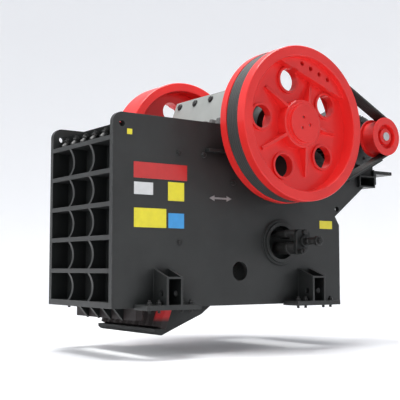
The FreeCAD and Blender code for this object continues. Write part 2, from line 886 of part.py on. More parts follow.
def toggle_plate():
    """The toggle: a plate with a rounded bead at each end, from the rear seat down to the jaw."""
    width = jaw_width - dim("toggle_side_gap") * 2
    half = dim("toggle_thickness") / 2
    web = box("toggle_web", dim("toggle_length"), width, dim("toggle_thickness"),
              -dim("toggle_length"), -(width / 2), -half)
    rear_bead = rod_along_y("toggle_rear_bead", dim("toggle_end_radius"), width, 0, -(width / 2), 0)
    front_bead = rod_along_y("toggle_front_bead", dim("toggle_end_radius"), width,
                             -dim("toggle_length"), -(width / 2), 0)
    plate = fused("toggle_plate", [web, rear_bead, front_bead])
    turn_about_y(plate, -DIMENSIONS["toggle_angle"])
    return keep(move(plate, pivot_x, 0, pivot_z), "toggle_plate")


toggle_plate()

# Feet: base plate, two gussets and a tie plate each, under both side plates.
foot_centres = {"front": -(dim("feet_span") / 2), "rear": dim("feet_span") / 2}
stud_offsets = [-dim("stud_outer_offset"), -dim("stud_inner_offset"),
                dim("stud_inner_offset"), dim("stud_outer_offset")]


def foot(name, centre_x, side):
    """One foot: side is -1 at the drive side and 1 at the plain side."""
    outer = near_outer if side < 0 else far_outer
    reach = dim("foot_reach")
    base_start = outer - reach if side < 0 else outer
    base = box(f"{name}_base", dim("foot_half_length") * 2, reach, dim("foot_base_height"),
               centre_x - dim("foot_half_length"), base_start, 0)
    pieces = [base]
    gusset_low = dim("foot_base_height")
    for index in (-1, 1):
        middle = centre_x + dim("gusset_spacing") / 2 * index
        outline = [
            (outer, gusset_low),
            (outer, floor + dim("gusset_inner_height")),
            (outer + reach * side, floor + dim("gusset_outer_height")),
            (outer + reach * side, gusset_low),
        ]
        hole = [(outer + reach * 0.6 * side, floor + dim("gusset_hole_height"), dim("gusset_hole_radius"))]
        gusset = padded(f"{name}_gusset_{index + 1}", "YZ_Plane", outline, dim("gusset_thickness"), hole)
        pieces.append(move(gusset, middle - dim("gusset_thickness") / 2, 0, 0))
    tie = box(f"{name}_tie", dim("gusset_spacing"), reach, dim("foot_tie_thickness"),
              centre_x - dim("gusset_spacing") / 2, base_start,
              floor + dim("gusset_outer_height") - dim("foot_tie_thickness"))
    pieces.append(tie)
    whole = fused(f"{name}_joined", pieces)
    stud_y = outer + dim("stud_reach") * side
    holes = [rod_along_z(f"{name}_hole_{index}", dim("stud_radius") + dim("stud_clearance"),
                         dim("foot_base_height") + 20, centre_x + offset, stud_y, -10)
             for index, offset in enumerate(stud_offsets)]
    return cut(name, whole, holes)


def feet(name, side):
    pieces = [foot(f"{name}_{place}", centre, side) for place, centre in foot_centres.items()]
    return keep(group(name, pieces), name)


feet("near_feet", -1)
feet("far_feet", 1)


def foot_studs():
    """Anchor studs through the feet: shank below, nut on the base plate."""
    studs = []
    for side in (-1, 1):
        outer = near_outer if side < 0 else far_outer
        stud_y = outer + dim("stud_reach") * side
        for place, centre in foot_centres.items():
            for index, offset in enumerate(stud_offsets):
                name = f"stud_{side + 1}_{place}_{index}"
                shank = rod_along_z(f"{name}_shank", dim("stud_radius"),
                                    dim("stud_drop") + dim("foot_base_height") + dim("stud_rise"),
                                    centre + offset, stud_y, -dim("stud_drop"))
                nut = hexagon(f"{name}_nut", dim("stud_nut_radius"), dim("stud_nut_height"),
                              centre + offset, stud_y, dim("foot_base_height"))
                studs.append(fused(name, [shank, nut]))
    return keep(group("foot_studs", studs), "foot_studs")


foot_studs()


def bearing_housing(name, outer, side):
    """A round housing in the side plate's cradle, with a flange against the outer face."""
    reach = dim("bearing_reach")
    inner = dim("plate_thickness")
    flange = dim("bearing_flange_thickness")
    shaft_bore = dim("shaft_radius") + dim("running_gap")
    points = [
        (-reach * side * -1, shaft_bore),
        (-reach * side * -1, dim("bearing_radius") - 40),
        (flange * side, dim("bearing_radius") - 20),
        (flange * side, dim("bearing_flange_radius")),
        (0, dim("bearing_flange_radius")),
        (0, dim("bearing_radius")),
        (-inner * side, dim("bearing_radius")),
        (-inner * side, shaft_bore),
    ]
    return keep(move(revolved(name, points), shaft_x, outer, shaft_z), name)


bearing_housing("near_bearing_housing", near_outer, -1)
bearing_housing("far_bearing_housing", far_outer, 1)


def bearing_ledges():
    """A ledge bar under each bearing, across the side plate's outer face."""
    bars = []
    for name, start_y in (("near", near_outer - dim("ledge_depth")), ("far", far_outer)):
        bar = box(f"{name}_ledge", dim("ledge_half_length") * 2, dim("ledge_depth"), dim("ledge_height"),
                  shaft_x - dim("ledge_half_length"), start_y, top - dim("ledge_drop"))
        relief = rod_along_y(f"{name}_ledge_relief", dim("bearing_flange_radius") + dim("bearing_seat_gap"),
                             dim("ledge_depth") * 3, shaft_x, start_y - dim("ledge_depth"), shaft_z)
        bars.append(cut(f"{name}_ledge_cut", bar, [relief]))
    return keep(group("bearing_ledges", bars), "bearing_ledges")


bearing_ledges()

# Rotor: shaft and two wheels, turned about the shaft.
near_wheel_face = near_outer - dim("near_wheel_gap") - dim("wheel_width")
far_wheel_face = far_outer + dim("far_wheel_gap") + dim("wheel_width")
near_wheel_inner = near_wheel_face + dim("wheel_width")
far_wheel_inner = far_wheel_face - dim("wheel_width")


def eccentric_shaft():
    """The shaft, thickest between the bearings, stepped down through the wheels."""
    points = [
        (near_wheel_face + dim("hub_disc_thickness"), 0),
        (near_wheel_face + dim("hub_disc_thickness"), dim("shaft_end_radius")),
        (near_wheel_inner, dim("shaft_end_radius")),
        (near_wheel_inner, dim("shaft_radius")),
        (near_inner + 4, dim("shaft_radius")),
        (near_inner + 4, dim("journal_radius")),
        (far_inner - 4, dim("journal_radius")),
        (far_inner - 4, dim("shaft_radius")),
        (far_wheel_inner, dim("shaft_radius")),
        (far_wheel_inner, dim("shaft_end_radius")),
        (far_wheel_face - dim("hub_disc_thickness"), dim("shaft_end_radius")),
        (far_wheel_face - dim("hub_disc_thickness"), 0),
    ]
    return keep(move(revolved("eccentric_shaft", points), shaft_x, 0, shaft_z), "eccentric_shaft")


eccentric_shaft()

WHEEL_ARMS = 5
ARM_STEP = 360 / WHEEL_ARMS


def at_angle(target, degrees):
    """Turn a wheel feature about the wheel's axis, anticlockwise from +X as seen from -Y."""
    return turn_about_y(target, -degrees)


def wheel(name, side, face, grooved):
    """A spoked-looking wheel: rim, web with five lipped holes, five ribs, hub and counterweight.

    It is built about the Y axis with its outer face at zero and its inner face at +side * width.
    """
    width = dim("wheel_width") * side
    web_face = dim("web_depth") * side
    web_back = (dim("web_depth") + dim("web_thickness")) * side
    rim_inner = dim("wheel_radius") - dim("rim_depth")
    bore = dim("shaft_end_radius") + dim("running_gap")
    ease = dim("wheel_chamfer")
    ease_out = ease * side
    hub_face = dim("hub_disc_thickness") * side
    step_face = dim("hub_step_depth") * side
    points = [
        (hub_face, bore),
        (hub_face, dim("hub_radius")),
        (step_face, dim("hub_radius")),
        (step_face, dim("hub_step_radius") - ease),
        (step_face + ease_out, dim("hub_step_radius")),
        (web_face, dim("hub_step_radius")),
        (web_face, rim_inner),
        (ease_out, rim_inner),
        (0, rim_inner + ease),
        (0, dim("wheel_radius") - ease),
        (ease_out, dim("wheel_radius")),
        (width - ease_out, dim("wheel_radius")),
        (width, dim("wheel_radius") - ease),
        (width, rim_inner + ease),
        (width - ease_out, rim_inner),
        (web_back, rim_inner),
        (web_back, dim("hub_step_radius")),
        (width, dim("hub_step_radius")),
        (width, bore),
    ]
    if grooved:
        groove_half = dim("belt_width") / 2 + dim("belt_gap")
        groove_start = (dim("belt_from_face") - groove_half) * side
        groove_stop = (dim("belt_from_face") + groove_half) * side
        groove_bottom = dim("wheel_radius") - dim("groove_depth")
        points[11:11] = [
            (groove_start, dim("wheel_radius")),
            (groove_start, groove_bottom),
            (groove_stop, groove_bottom),
            (groove_stop, dim("wheel_radius")),
        ]
    body = revolved(f"{name}_turned", points)
    solid = [body]
    holes = []
    for arm in range(WHEEL_ARMS):
        hole_angle = DIMENSIONS["wheel_hole_angle"] + ARM_STEP * arm
        radians = math.radians(hole_angle)
        hole_x = dim("wheel_hole_pitch") * math.cos(radians)
        hole_z = dim("wheel_hole_pitch") * math.sin(radians)
        lip_start = dim("web_depth") - dim("lip_height") if side > 0 else -(dim("web_depth") + dim("web_thickness"))
        lip = rod_along_y(f"{name}_lip_{arm}", dim("lip_radius"), dim("lip_height") + dim("web_thickness"),
                          hole_x, lip_start, hole_z)
        hole = rod_along_y(f"{name}_hole_{arm}", dim("wheel_hole_radius"), dim("wheel_width") * 3,
                           hole_x, -dim("wheel_width") * 1.5, hole_z)
        solid.append(lip)
        holes.append(hole)
        inner_end = dim("hub_step_radius") - 20
        outer_end = dim("wheel_rib_reach")
        high = web_face - dim("wheel_rib_height") * side
        end_high = web_face - dim("wheel_rib_end") * side
        low = web_face + dim("web_thickness") / 2 * side
        rib = padded(f"{name}_rib_{arm}", "XY_Plane",
                     [(inner_end, high), (outer_end, end_high), (outer_end, low), (inner_end, low)],
                     dim("wheel_rib_thickness"))
        solid.append(on_radius(rib, dim("wheel_rib_thickness"), hole_angle + ARM_STEP / 2))
    whole = fused(f"{name}_joined", solid + [counterweight(name, side, rim_inner, web_face)])
    bolts = counterweight_holes(name, side)
    result = cut(name, whole, holes + bolts)
    move(result, shaft_x, face, shaft_z)
    return keep(result, name)


def on_radius(rib, thickness, degrees):
    """Centre a rib on its radius, then turn it to its angle about the wheel's axis."""
    holder = doc.addObject("Part::Compound", f"{rib.Name}_placed")
    move(rib, 0, 0, -(thickness / 2))
    holder.Links = [rib]
    return at_angle(holder, degrees)


def counterweight(name, side, rim_inner, web_face):
    """A segment of the rim's inside, flat along its chord, standing on the web."""
    start = dim("weight_face_depth") if side > 0 else -dim("web_depth")
    depth = dim("web_depth") - dim("weight_face_depth")
    disc = rod_along_y(f"{name}_weight_disc", rim_inner + 10, depth, 0, start, 0)
    half = dim("wheel_radius") * 2
    blank = box(f"{name}_weight_blank", dim("wheel_radius"), half * 2, half * 2,
                dim("weight_chord"), -half, -half)
    segment = doc.addObject("Part::Common", f"{name}_weight")
    turned = doc.addObject("Part::Compound", f"{name}_weight_turned")
    turned.Links = [blank]
    at_angle(turned, DIMENSIONS["weight_angle"])
    segment.Base = disc
    segment.Tool = turned
    return segment


def counterweight_holes(name, side):
    """Four holes in a row along the counterweight's chord."""
    angle = math.radians(DIMENSIONS["weight_angle"])
    start = dim("weight_face_depth") - 10 if side > 0 else -(dim("weight_face_depth") + dim("weight_bolt_depth"))
    holes = []
    for index in range(4):
        along = dim("weight_bolt_spacing") * (index - 1.5)
        hole_x = dim("weight_bolt_distance") * math.cos(angle) + along * math.sin(angle)
        hole_z = dim("weight_bolt_distance") * math.sin(angle) - along * math.cos(angle)
        holes.append(rod_along_y(f"{name}_weight_hole_{index}", dim("weight_bolt_radius"),
                                 dim("weight_bolt_depth") + 10,
                                 hole_x, start, hole_z))
    return holes


wheel("drive_flywheel", 1, near_wheel_face, True)
wheel("plain_flywheel", -1, far_wheel_face, False)


def hub_discs():
    """A retaining disc on each shaft end, with three holes."""
    discs = []
    for name, start in (("near", near_wheel_face), ("far", far_wheel_face - dim("hub_disc_thickness"))):
        disc = rod_along_y(f"{name}_disc", dim("hub_disc_radius"), dim("hub_disc_thickness"), 0, 0, 0)
        holes = []
        for index in range(3):
            radians = math.radians(110 + 120 * index)
            holes.append(rod_along_y(f"{name}_disc_hole_{index}", dim("hub_disc_hole_radius"), 100,
                                     dim("hub_disc_hole_pitch") * math.cos(radians), -40,
                                     dim("hub_disc_hole_pitch") * math.sin(radians)))
        drilled = cut(f"{name}_disc_drilled", disc, holes)
        discs.append(move(drilled, shaft_x, start, shaft_z))
    return keep(group("hub_discs", discs), "hub_discs")


hub_discs()

# Motor, pulley and belt.
belt_middle = near_wheel_face + dim("belt_from_face")
belt_start = belt_middle - dim("belt_width") / 2
pulley_start = belt_middle - dim("pulley_width") / 2


def motor_pulley():
    """A grooved-looking pulley: rim, dished face and hub ring."""
    width = dim("pulley_width")
    rim = dim("pulley_radius")
    edge = (width - dim("belt_width")) / 2 - dim("belt_gap")
    barrel = rim - dim("belt_thickness") - dim("belt_gap")
    bore = dim("motor_shaft_radius") + dim("running_gap")
    points = [
        (10, bore),
        (10, rim * 0.40),
        (dim("pulley_recess"), rim * 0.40),
        (dim("pulley_recess"), rim * 0.64),
        (0, rim * 0.64),
        (0, rim - 4),
        (4, rim),
        (edge, rim),
        (edge, barrel),
        (width - edge, barrel),
        (width - edge, rim),
        (width, rim),
        (width, bore),
    ]
    return keep(move(revolved("motor_pulley", points), motor_x, pulley_start, motor_z), "motor_pulley")


motor_pulley()
motor_start = pulley_start + dim("pulley_width") + dim("motor_front_gap")
keep(rod_along_y("motor_shaft", dim("motor_shaft_radius"),
                 dim("pulley_width") + dim("motor_front_gap") + dim("motor_bore_depth") - 10,
                 motor_x, pulley_start, motor_z), "motor_shaft")


def drive_belt():
    """One belt loop: two circles of belt joined by their outer tangents, worked out from the sheet."""
    wheel_run = dim("wheel_radius").value - dim("groove_depth").value + dim("belt_gap").value
    pulley_run = dim("pulley_radius").value - dim("belt_thickness").value
    thickness = dim("belt_thickness").value
    reach = dim("motor_reach").value
    drop = -dim("motor_drop").value
    distance = math.hypot(reach, drop)
    heading = math.atan2(drop, reach)

    def loop(first_radius, second_radius):
        spread = math.acos((first_radius - second_radius) / distance)
        upper = heading + spread
        lower = heading - spread

        def point(centre_x, centre_z, radius, angle):
            return FreeCAD.Vector(centre_x + radius * math.cos(angle), 0, centre_z + radius * math.sin(angle))

        first_up = point(0, 0, first_radius, upper)
        first_back = point(0, 0, first_radius, heading + math.pi)
        first_down = point(0, 0, first_radius, lower)
        second_up = point(reach, drop, second_radius, upper)
        second_front = point(reach, drop, second_radius, heading)
        second_down = point(reach, drop, second_radius, lower)
        edges = [
            Part.Arc(first_up, first_back, first_down).toShape(),
            Part.LineSegment(first_down, second_down).toShape(),
            Part.Arc(second_down, second_front, second_up).toShape(),
            Part.LineSegment(second_up, first_up).toShape(),
        ]
        return Part.Face(Part.Wire(edges))

    ring = loop(wheel_run + thickness, pulley_run + thickness).cut(loop(wheel_run, pulley_run))
    belt = doc.addObject("Part::Feature", "drive_belt")
    belt.Shape = ring.extrude(FreeCAD.Vector(0, dim("belt_width").value, 0))
    return keep(move(belt, shaft_x, belt_start, shaft_z), "drive_belt")


drive_belt()


def on_base(along, rise):
    """Machine x and z of a point on the sloping base: along the slope, and above its underside."""
    return (base_under_x + tilt_cosine * along - tilt_sine * rise,
            base_under_z + tilt_sine * along + tilt_cosine * rise)


base_near = near_outer - dim("motor_base_overhang")


def motor_base():
    """The sloping motor plate and the two saddles that carry its rear half on the crossbeam."""
    half = dim("motor_base_half_length")
    thickness = dim("motor_base_thickness")
    plate = padded("motor_base_plate", "XZ_Plane", [
        on_base(-half, 0), on_base(half, 0), on_base(half, thickness), on_base(-half, thickness),
    ], dim("motor_base_width"))
    move(plate, 0, base_near, 0)
    beam_top = top - dim("arm_drop") + dim("beam_height")
    beam_stop = beam_start + dim("beam_width")
    saddle_outline = [
        (beam_start + 4, beam_top),
        (beam_stop - 4, beam_top),
        (beam_stop - 4, base_underside(beam_stop - 4) + 6),
        (beam_start + 4, base_underside(beam_start + 4) + 6),
    ]
    pieces = [plate]
    saddle = dim("saddle_thickness")
    for index, start_y in enumerate((near_outer + 8, base_near + dim("motor_base_width") - saddle - 20)):
        piece = padded(f"motor_saddle_{index}", "XZ_Plane", saddle_outline, saddle)
        pieces.append(move(piece, 0, start_y, 0))
    return keep(fused("motor_base", pieces), "motor_base")


motor_base()


def motor():
    """The motor: finned barrel, end shields, fan cover, foot block and terminal box."""
    radius = dim("motor_radius")
    length = dim("motor_length")
    points = [
        (0, dim("motor_shaft_radius") + dim("running_gap")),
        (0, radius * 0.45),
        (40, radius * 0.5),
        (70, radius * 0.92),
        (95, radius),
        (length - 230, radius),
        (length - 210, radius * 0.94),
        (length, radius * 0.9),
        (length, 0),
        (dim("motor_bore_depth"), 0),
        (dim("motor_bore_depth"), dim("motor_shaft_radius") + dim("running_gap")),
    ]
    barrel = revolved("motor_barrel", points)
    foot_half = dim("motor_foot_half_width")
    height = dim("motor_axis_height")
    block = box("motor_foot_block", foot_half * 2, dim("motor_foot_length"), height * 0.62,
                -foot_half, dim("motor_foot_start") + 160, -height)
    terminal = box("motor_terminal_box", 240, 260, 120, -120, 330, radius - 20)
    whole = fused("motor_whole", [barrel, block, terminal])
    turn_about_y(whole, -DIMENSIONS["motor_tilt"])
    return keep(move(whole, motor_x, motor_start, motor_z), "motor")


motor()


def motor_crossbeam():
    """A square tube across the arms of both side plates, open at its ends."""
    overhang = dim("beam_overhang")
    length = dim("inner_width") + (dim("plate_thickness") + overhang) * 2
    wall = dim("beam_wall")
    start_z = top - dim("arm_drop")
    outer = box("motor_crossbeam_outer", dim("beam_width"), length, dim("beam_height"),
                beam_start, near_outer - overhang, start_z)
    inner = box("motor_crossbeam_inner", dim("beam_width") - wall * 2, length + 100, dim("beam_height") - wall * 2,
                beam_start + wall, near_outer - overhang - 50, start_z + wall)
    return keep(cut("motor_crossbeam", outer, [inner]), "motor_crossbeam")


motor_crossbeam()


def tension_bracket():
    """An angle bracket behind the crossbeam with the screw that props the motor base's high end."""
    beam_stop = beam_start + dim("beam_width")
    beam_top = top - dim("arm_drop") + dim("beam_height")
    plate_z = beam_top + dim("tension_plate_rise")
    thickness = dim("tension_plate_thickness")
    width = dim("tension_plate_width")
    start_y = near_outer - 20
    plate = box("tension_plate", dim("tension_plate_length"), width, thickness, beam_stop, start_y, plate_z)
    web = box("tension_web", thickness, width, dim("tension_plate_rise") + dim("beam_height") * 0.7,
              beam_stop, start_y, plate_z - dim("tension_plate_rise") - dim("beam_height") * 0.7)
    screw_x = beam_stop + dim("tension_plate_length") * 0.3
    screw_y = start_y + width / 2
    screw_top = base_underside(screw_x - dim("tension_screw_radius"))
    screw_low = plate_z - 40
    screw = rod_along_z("tension_screw_rod", dim("tension_screw_radius"), screw_top - screw_low,
                        screw_x, screw_y, screw_low)
    nut = hexagon("tension_screw_nut", dim("tension_screw_radius") * 1.8, dim("tension_screw_radius"),
                  screw_x, screw_y, plate_z + thickness)
    return keep(fused("tension_bracket", [plate, web, screw, nut]), "tension_bracket")


tension_bracket()


def adjuster_rings():
    """A stepped ring on each side plate, round the wedge adjuster's opening."""
    rings = []
    for name, outer, side in (("near", near_outer, -1), ("far", far_outer, 1)):
        thickness = dim("ring_thickness") * side
        step = dim("ring_step_thickness") * side
        points = [
            (0, dim("ring_inner_radius")),
            (thickness, dim("ring_inner_radius")),
            (thickness, dim("ring_step_radius")),
            (step, dim("ring_step_radius")),
            (step, dim("ring_radius")),
            (0, dim("ring_radius")),
        ]
        rings.append(move(revolved(f"{name}_ring", points), adjuster_x, outer, adjuster_z))
    return keep(group("adjuster_rings", rings), "adjuster_rings")


adjuster_rings()


def adjuster(name, outer, inner, side):
    """Rams, their plate and the threaded rods that draw the toggle wedge at one side."""
    ram_end = dim("ram_length") + dim("plate_thickness")
    plate = dim("adjuster_plate_thickness")

    def along(start, length):
        """Y of a piece's low end, for a piece that starts that far out from the inner face."""
        return inner + start * side if side > 0 else inner - start - length

    rods = [
        ("ram", dim("ram_radius"), as_size(0), ram_end, 10, -70),
        ("upper_ram", dim("small_ram_radius"), as_size(0), ram_end, -25, 92),
        ("side_ram", dim("small_ram_radius"), as_size(0), ram_end, 78, 78),
        ("long_rod", dim("long_rod_radius"), ram_end, plate + dim("long_rod_length"), 30, 5),
        ("short_rod", dim("short_rod_radius"), ram_end, plate + dim("short_rod_length"), -40, -105),
        ("top_stub", dim("short_rod_radius"), ram_end, plate + 34, 40, 105),
    ]
    pieces = []
    for label, radius, start, length, shift_x, shift_z in rods:
        pieces.append(rod_along_y(f"{name}_{label}", radius, length, adjuster_x + shift_x,
                                  along(start, length), adjuster_z + shift_z))
    pieces.append(box(f"{name}_plate", dim("adjuster_plate_width"), plate, dim("adjuster_plate_height"),
                      adjuster_x - dim("adjuster_plate_width") / 2, along(ram_end, plate),
                      adjuster_z - dim("adjuster_plate_height") / 2))
    nut_start = ram_end + plate + dim("long_rod_length") - 60
    nut = hexagon(f"{name}_nut", dim("long_rod_radius") * 1.5, 36)
    nut.Placement.Rotation = FreeCAD.Rotation(FreeCAD.Vector(1, 0, 0), -90)
    pieces.append(move(nut, adjuster_x + 30, along(nut_start, as_size(36)), adjuster_z + 5))
    return keep(fused(name, pieces), name)


adjuster("near_adjuster", near_outer, near_inner, -1)
adjuster("far_adjuster", far_outer, far_inner, 1)


def marker(name, low_x, low_z, high_x, high_z):
    """A thin blank plate on the drive side's outer face, placed from the front and the bottom."""
    return box(name, high_x - low_x, dim("marker_thickness"), high_z - low_z,
               front + low_x, near_outer - dim("marker_thickness"), floor + low_z)


keep(marker("red_marker", 222, 1200, 820, 1350), "red_marker")
keep(marker("white_marker", 227, 1047, 434, 1162), "white_marker")
keep(marker("blue_marker", 606, 742, 786, 884), "blue_marker")
keep(group("yellow_markers", [
    marker("yellow_upper", 602, 1002, 786, 1180),
    marker("yellow_lower", 228, 742, 582, 922),
    marker("yellow_front", 149, 1597, 203, 1648),
    marker("yellow_rear", 2561, 790, 2746, 876),
]), "yellow_markers")


def arrow_marker():
    """A blank arrow with a head at each end."""
    low_x = front + 1087
    high_x = front + 1361
    middle = floor + 1052
    head = 62
    half_head = 28
    half_stem = 9
    outline = [
        (low_x, middle), (low_x + head, middle + half_head), (low_x + head, middle + half_stem),
        (high_x - head, middle + half_stem), (high_x - head, middle + half_head), (high_x, middle),
        (high_x - head, middle - half_head), (high_x - head, middle - half_stem),
        (low_x + head, middle - half_stem), (low_x + head, middle - half_head),
    ]
    arrow = padded("arrow_marker", "XZ_Plane", outline, dim("marker_thickness"))
    return keep(move(arrow, 0, near_outer - dim("marker_thickness"), 0), "arrow_marker")


arrow_marker()

doc.recompute()
failed = [item.Label for item in doc.Objects if "Invalid" in item.State or "Error" in item.State]
if failed:
    raise RuntimeError(f"objects that didn't recompute: {failed}")
for node in nodes:
    if node.Shape.isNull() or not node.Shape.isValid():
        raise RuntimeError(f"{node.Label} has no valid shape")

os.makedirs("parts", exist_ok=True)
for node in nodes:
    node.Shape.exportStep(f"parts/{node.Label}.step")
    print(node.Label, len(node.Shape.Solids), round(node.Shape.Volume / 1e6, 2))
print(len(nodes), "sub-parts")
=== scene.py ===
# %% [markdown]
# # A jaw crusher, dressed for the studio
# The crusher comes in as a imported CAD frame: plates, jaws, wheels, motor and feet, each a node
# that already has its real size and place. This script gives every node its finish, swaps the
# few pieces that need finer shapes than CAD carried, and sets up the room, lights and camera.

# %% Load the frame
import json
import math

import bmesh
import bpy
from mathutils import Matrix, Vector


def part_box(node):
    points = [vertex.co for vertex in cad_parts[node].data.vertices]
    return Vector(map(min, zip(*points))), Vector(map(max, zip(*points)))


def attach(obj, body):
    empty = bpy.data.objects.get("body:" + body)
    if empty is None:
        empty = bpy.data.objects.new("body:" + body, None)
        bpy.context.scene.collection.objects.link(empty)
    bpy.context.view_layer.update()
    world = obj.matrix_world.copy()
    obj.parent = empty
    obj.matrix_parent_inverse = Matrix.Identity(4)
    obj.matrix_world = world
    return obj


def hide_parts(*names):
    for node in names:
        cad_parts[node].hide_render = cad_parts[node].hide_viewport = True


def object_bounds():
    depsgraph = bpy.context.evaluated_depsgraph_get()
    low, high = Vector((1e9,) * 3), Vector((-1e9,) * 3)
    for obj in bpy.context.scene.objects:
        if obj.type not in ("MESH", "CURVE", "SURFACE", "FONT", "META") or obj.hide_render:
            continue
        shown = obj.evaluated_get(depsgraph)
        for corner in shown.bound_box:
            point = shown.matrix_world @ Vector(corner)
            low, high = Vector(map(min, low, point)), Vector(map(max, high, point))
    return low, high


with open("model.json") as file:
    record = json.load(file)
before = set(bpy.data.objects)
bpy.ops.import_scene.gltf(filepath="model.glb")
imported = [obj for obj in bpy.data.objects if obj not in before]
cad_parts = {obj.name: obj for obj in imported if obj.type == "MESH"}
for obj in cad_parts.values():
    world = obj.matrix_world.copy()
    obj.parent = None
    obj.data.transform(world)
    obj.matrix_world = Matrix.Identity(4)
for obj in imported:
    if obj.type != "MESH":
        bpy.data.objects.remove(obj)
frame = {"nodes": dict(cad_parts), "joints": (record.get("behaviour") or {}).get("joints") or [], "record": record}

cad_low, cad_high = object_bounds()
nodes = frame["nodes"]
joints = {joint["name"]: joint for joint in frame["joints"]}
mounts = {mount["name"]: mount for mount in frame["record"]["mounts"]}

# %% [markdown]
# ## Shader arithmetic
# A finish is a sum of small effects: a base colour, a little unevenness, worn edges. Wiring each
# sum by hand takes many nodes, so one small class lets a socket be used like a number. Adding or
# multiplying two of them drops a Math node into the tree.


# %% The socket wrapper
class Signal:
    """A node output that can be added, multiplied and blended like a number."""

    def __init__(self, mix, socket):
        self.mix = mix
        self.socket = socket

    def _math(self, operation, first, second):
        return self.mix.node("ShaderNodeMath", {"operation": operation}, {0: first, 1: second})

    def __add__(self, other):
        return self._math("ADD", self, other)

    __radd__ = __add__

    def __sub__(self, other):
        return self._math("SUBTRACT", self, other)

    def __rsub__(self, other):
        return self._math("SUBTRACT", other, self)

    def __mul__(self, other):
        return self._math("MULTIPLY", self, other)

    __rmul__ = __mul__

    def ramp(self, low, high):
        """0 at low, 1 at high, and straight between."""
        return self.mix.node("ShaderNodeMapRange", {"clamp": True},
                             {"Value": self, "From Min": low, "From Max": high})


# %% [markdown]
# ## One finish under construction
# Every finish below is written in the same few words: noise for patches, edges for what rubs, hollows for painted
# shade and painted lift in corners and pockets, bump for relief. This class turns each word into the nodes it
# stands for, all measured in metres on the piece itself, and closes with one shader.

# %% The finish class
class Finish:
    """One material under construction."""

    def __init__(self, name):
        self.material = bpy.data.materials.new(name)
        self.material.use_nodes = True
        self.tree = self.material.node_tree
        self.tree.nodes.clear()
        self.place = self.node("ShaderNodeTexCoord", output="Object")

    def node(self, kind, settings=None, inputs=None, output=0):
        """A node of any kind: its settings are set first, then its sockets are filled or linked."""
        made = self.tree.nodes.new(kind)
        for name, value in (settings or {}).items():
            setattr(made, name, value)
        for name, value in (inputs or {}).items():
            if isinstance(value, Signal):
                self.tree.links.new(value.socket, made.inputs[name])
            else:
                made.inputs[name].default_value = value
        return Signal(self, made.outputs[output])

    def blend(self, amount, first, second):
        """Two colours mixed by an amount."""
        return self.node("ShaderNodeMix", {"data_type": "RGBA", "blend_type": "MIX"},
                         {0: amount, 6: first, 7: second}, output=2)

    def noise(self, scale, detail=3.0, roughness=0.55, stretch=(1, 1, 1)):
        """Soft random patches; scale counts them per metre."""
        spread = self.node("ShaderNodeMapping", None, {"Vector": self.place, "Scale": stretch})
        return self.node("ShaderNodeTexNoise", None,
                         {"Vector": spread, "Scale": scale, "Detail": detail, "Roughness": roughness})

    def edges(self, width):
        """1 along sharp edges and 0 on flats, from how far a rounded normal leans away."""
        rounded = self.node("ShaderNodeBevel", {"samples": 6}, {"Radius": width})
        flat = self.node("ShaderNodeNewGeometry", output="Normal")
        lean = self.node("ShaderNodeVectorMath", {"operation": "DOT_PRODUCT"},
                         {0: rounded, 1: flat}, output="Value")
        return (1 - lean).ramp(0.01, 0.22)

    def hollows(self, reach):
        """0 deep in a corner or pocket and 1 in the open, judged over a reach in metres."""
        return self.node("ShaderNodeAmbientOcclusion", {"samples": 8}, {"Distance": reach}, output="AO")

    def bump(self, height, strength, distance, soften=None):
        """Small relief, laid over a rounded edge normal where soften gives a radius."""
        inputs = {"Height": height, "Strength": strength, "Distance": distance}
        if soften:
            inputs["Normal"] = self.node("ShaderNodeBevel", {"samples": 6}, {"Radius": soften})
        return self.node("ShaderNodeBump", None, inputs)

    def finish(self, **sockets):
        """Close the material with one Principled shader; names use _ for spaces."""
        inputs = {name.replace("_", " "): value for name, value in sockets.items()}
        surface = self.node("ShaderNodeBsdfPrincipled", None, inputs)
        end = self.tree.nodes.new("ShaderNodeOutputMaterial")
        self.tree.links.new(surface.socket, end.inputs["Surface"])
        return self.material


def colour(red, green, blue):
    """An opaque colour in linear light."""
    return (red, green, blue, 1.0)


print("finish maker ready")

# %% [markdown]
# ## Charcoal frame paint
# The frame is sprayed in one thick satin coat of charcoal enamel over welded plate. A flat grey would look like
# plastic, so the coat gets three things: slow drifts in tone where the spray overlapped, the fine orange peel that
# thick enamel dries with, and rubbed, paler arrises. In the pockets between ribs the coat is painted near black as
# painted shade, and it turns rougher and loses its clear coat there.

# %% Frame paint
def charcoal_paint(name, base, rubbed, rubbing):
    mix = Finish(name)
    drift = mix.noise(1.7, 4.0)
    cloud = mix.noise(9.0, 5.0, 0.6)
    worn = mix.edges(0.006) * mix.noise(38.0, 4.0, 0.7).ramp(0.38, 0.62) * rubbing
    dust = mix.noise(160.0, 2.0).ramp(0.62, 0.78) * 0.10
    tone = mix.blend(drift.ramp(0.3, 0.7), colour(*(base * 0.86)), colour(*(base * 1.14)))
    tone = mix.blend(cloud.ramp(0.45, 0.75) * 0.22, tone, colour(*(base * 1.5)))
    tone = mix.blend(dust, tone, colour(0.09, 0.09, 0.088))
    tone = mix.blend(worn, tone, colour(*rubbed))
    # Painted shade: corners and pockets between ribs are painted near black, and turn rougher there.
    clear_of_painted_shade = mix.hollows(0.45).ramp(0.42, 0.86)
    tone = mix.blend(1 - clear_of_painted_shade, tone, colour(0.004, 0.005, 0.005))
    peel = mix.noise(420.0, 2.0) + mix.noise(22.0, 3.0) * 0.8
    return mix.finish(
        Base_Color=tone,
        Roughness=0.34 + cloud * 0.14 + worn * 0.2 + (1 - clear_of_painted_shade) * 0.3,
        Normal=mix.bump(peel, 0.22, 0.0009, soften=0.004),
        Coat_Weight=(0.06 + drift * 0.06) * clear_of_painted_shade,
        Coat_Roughness=0.2,
        Specular_IOR_Level=0.22,
    )


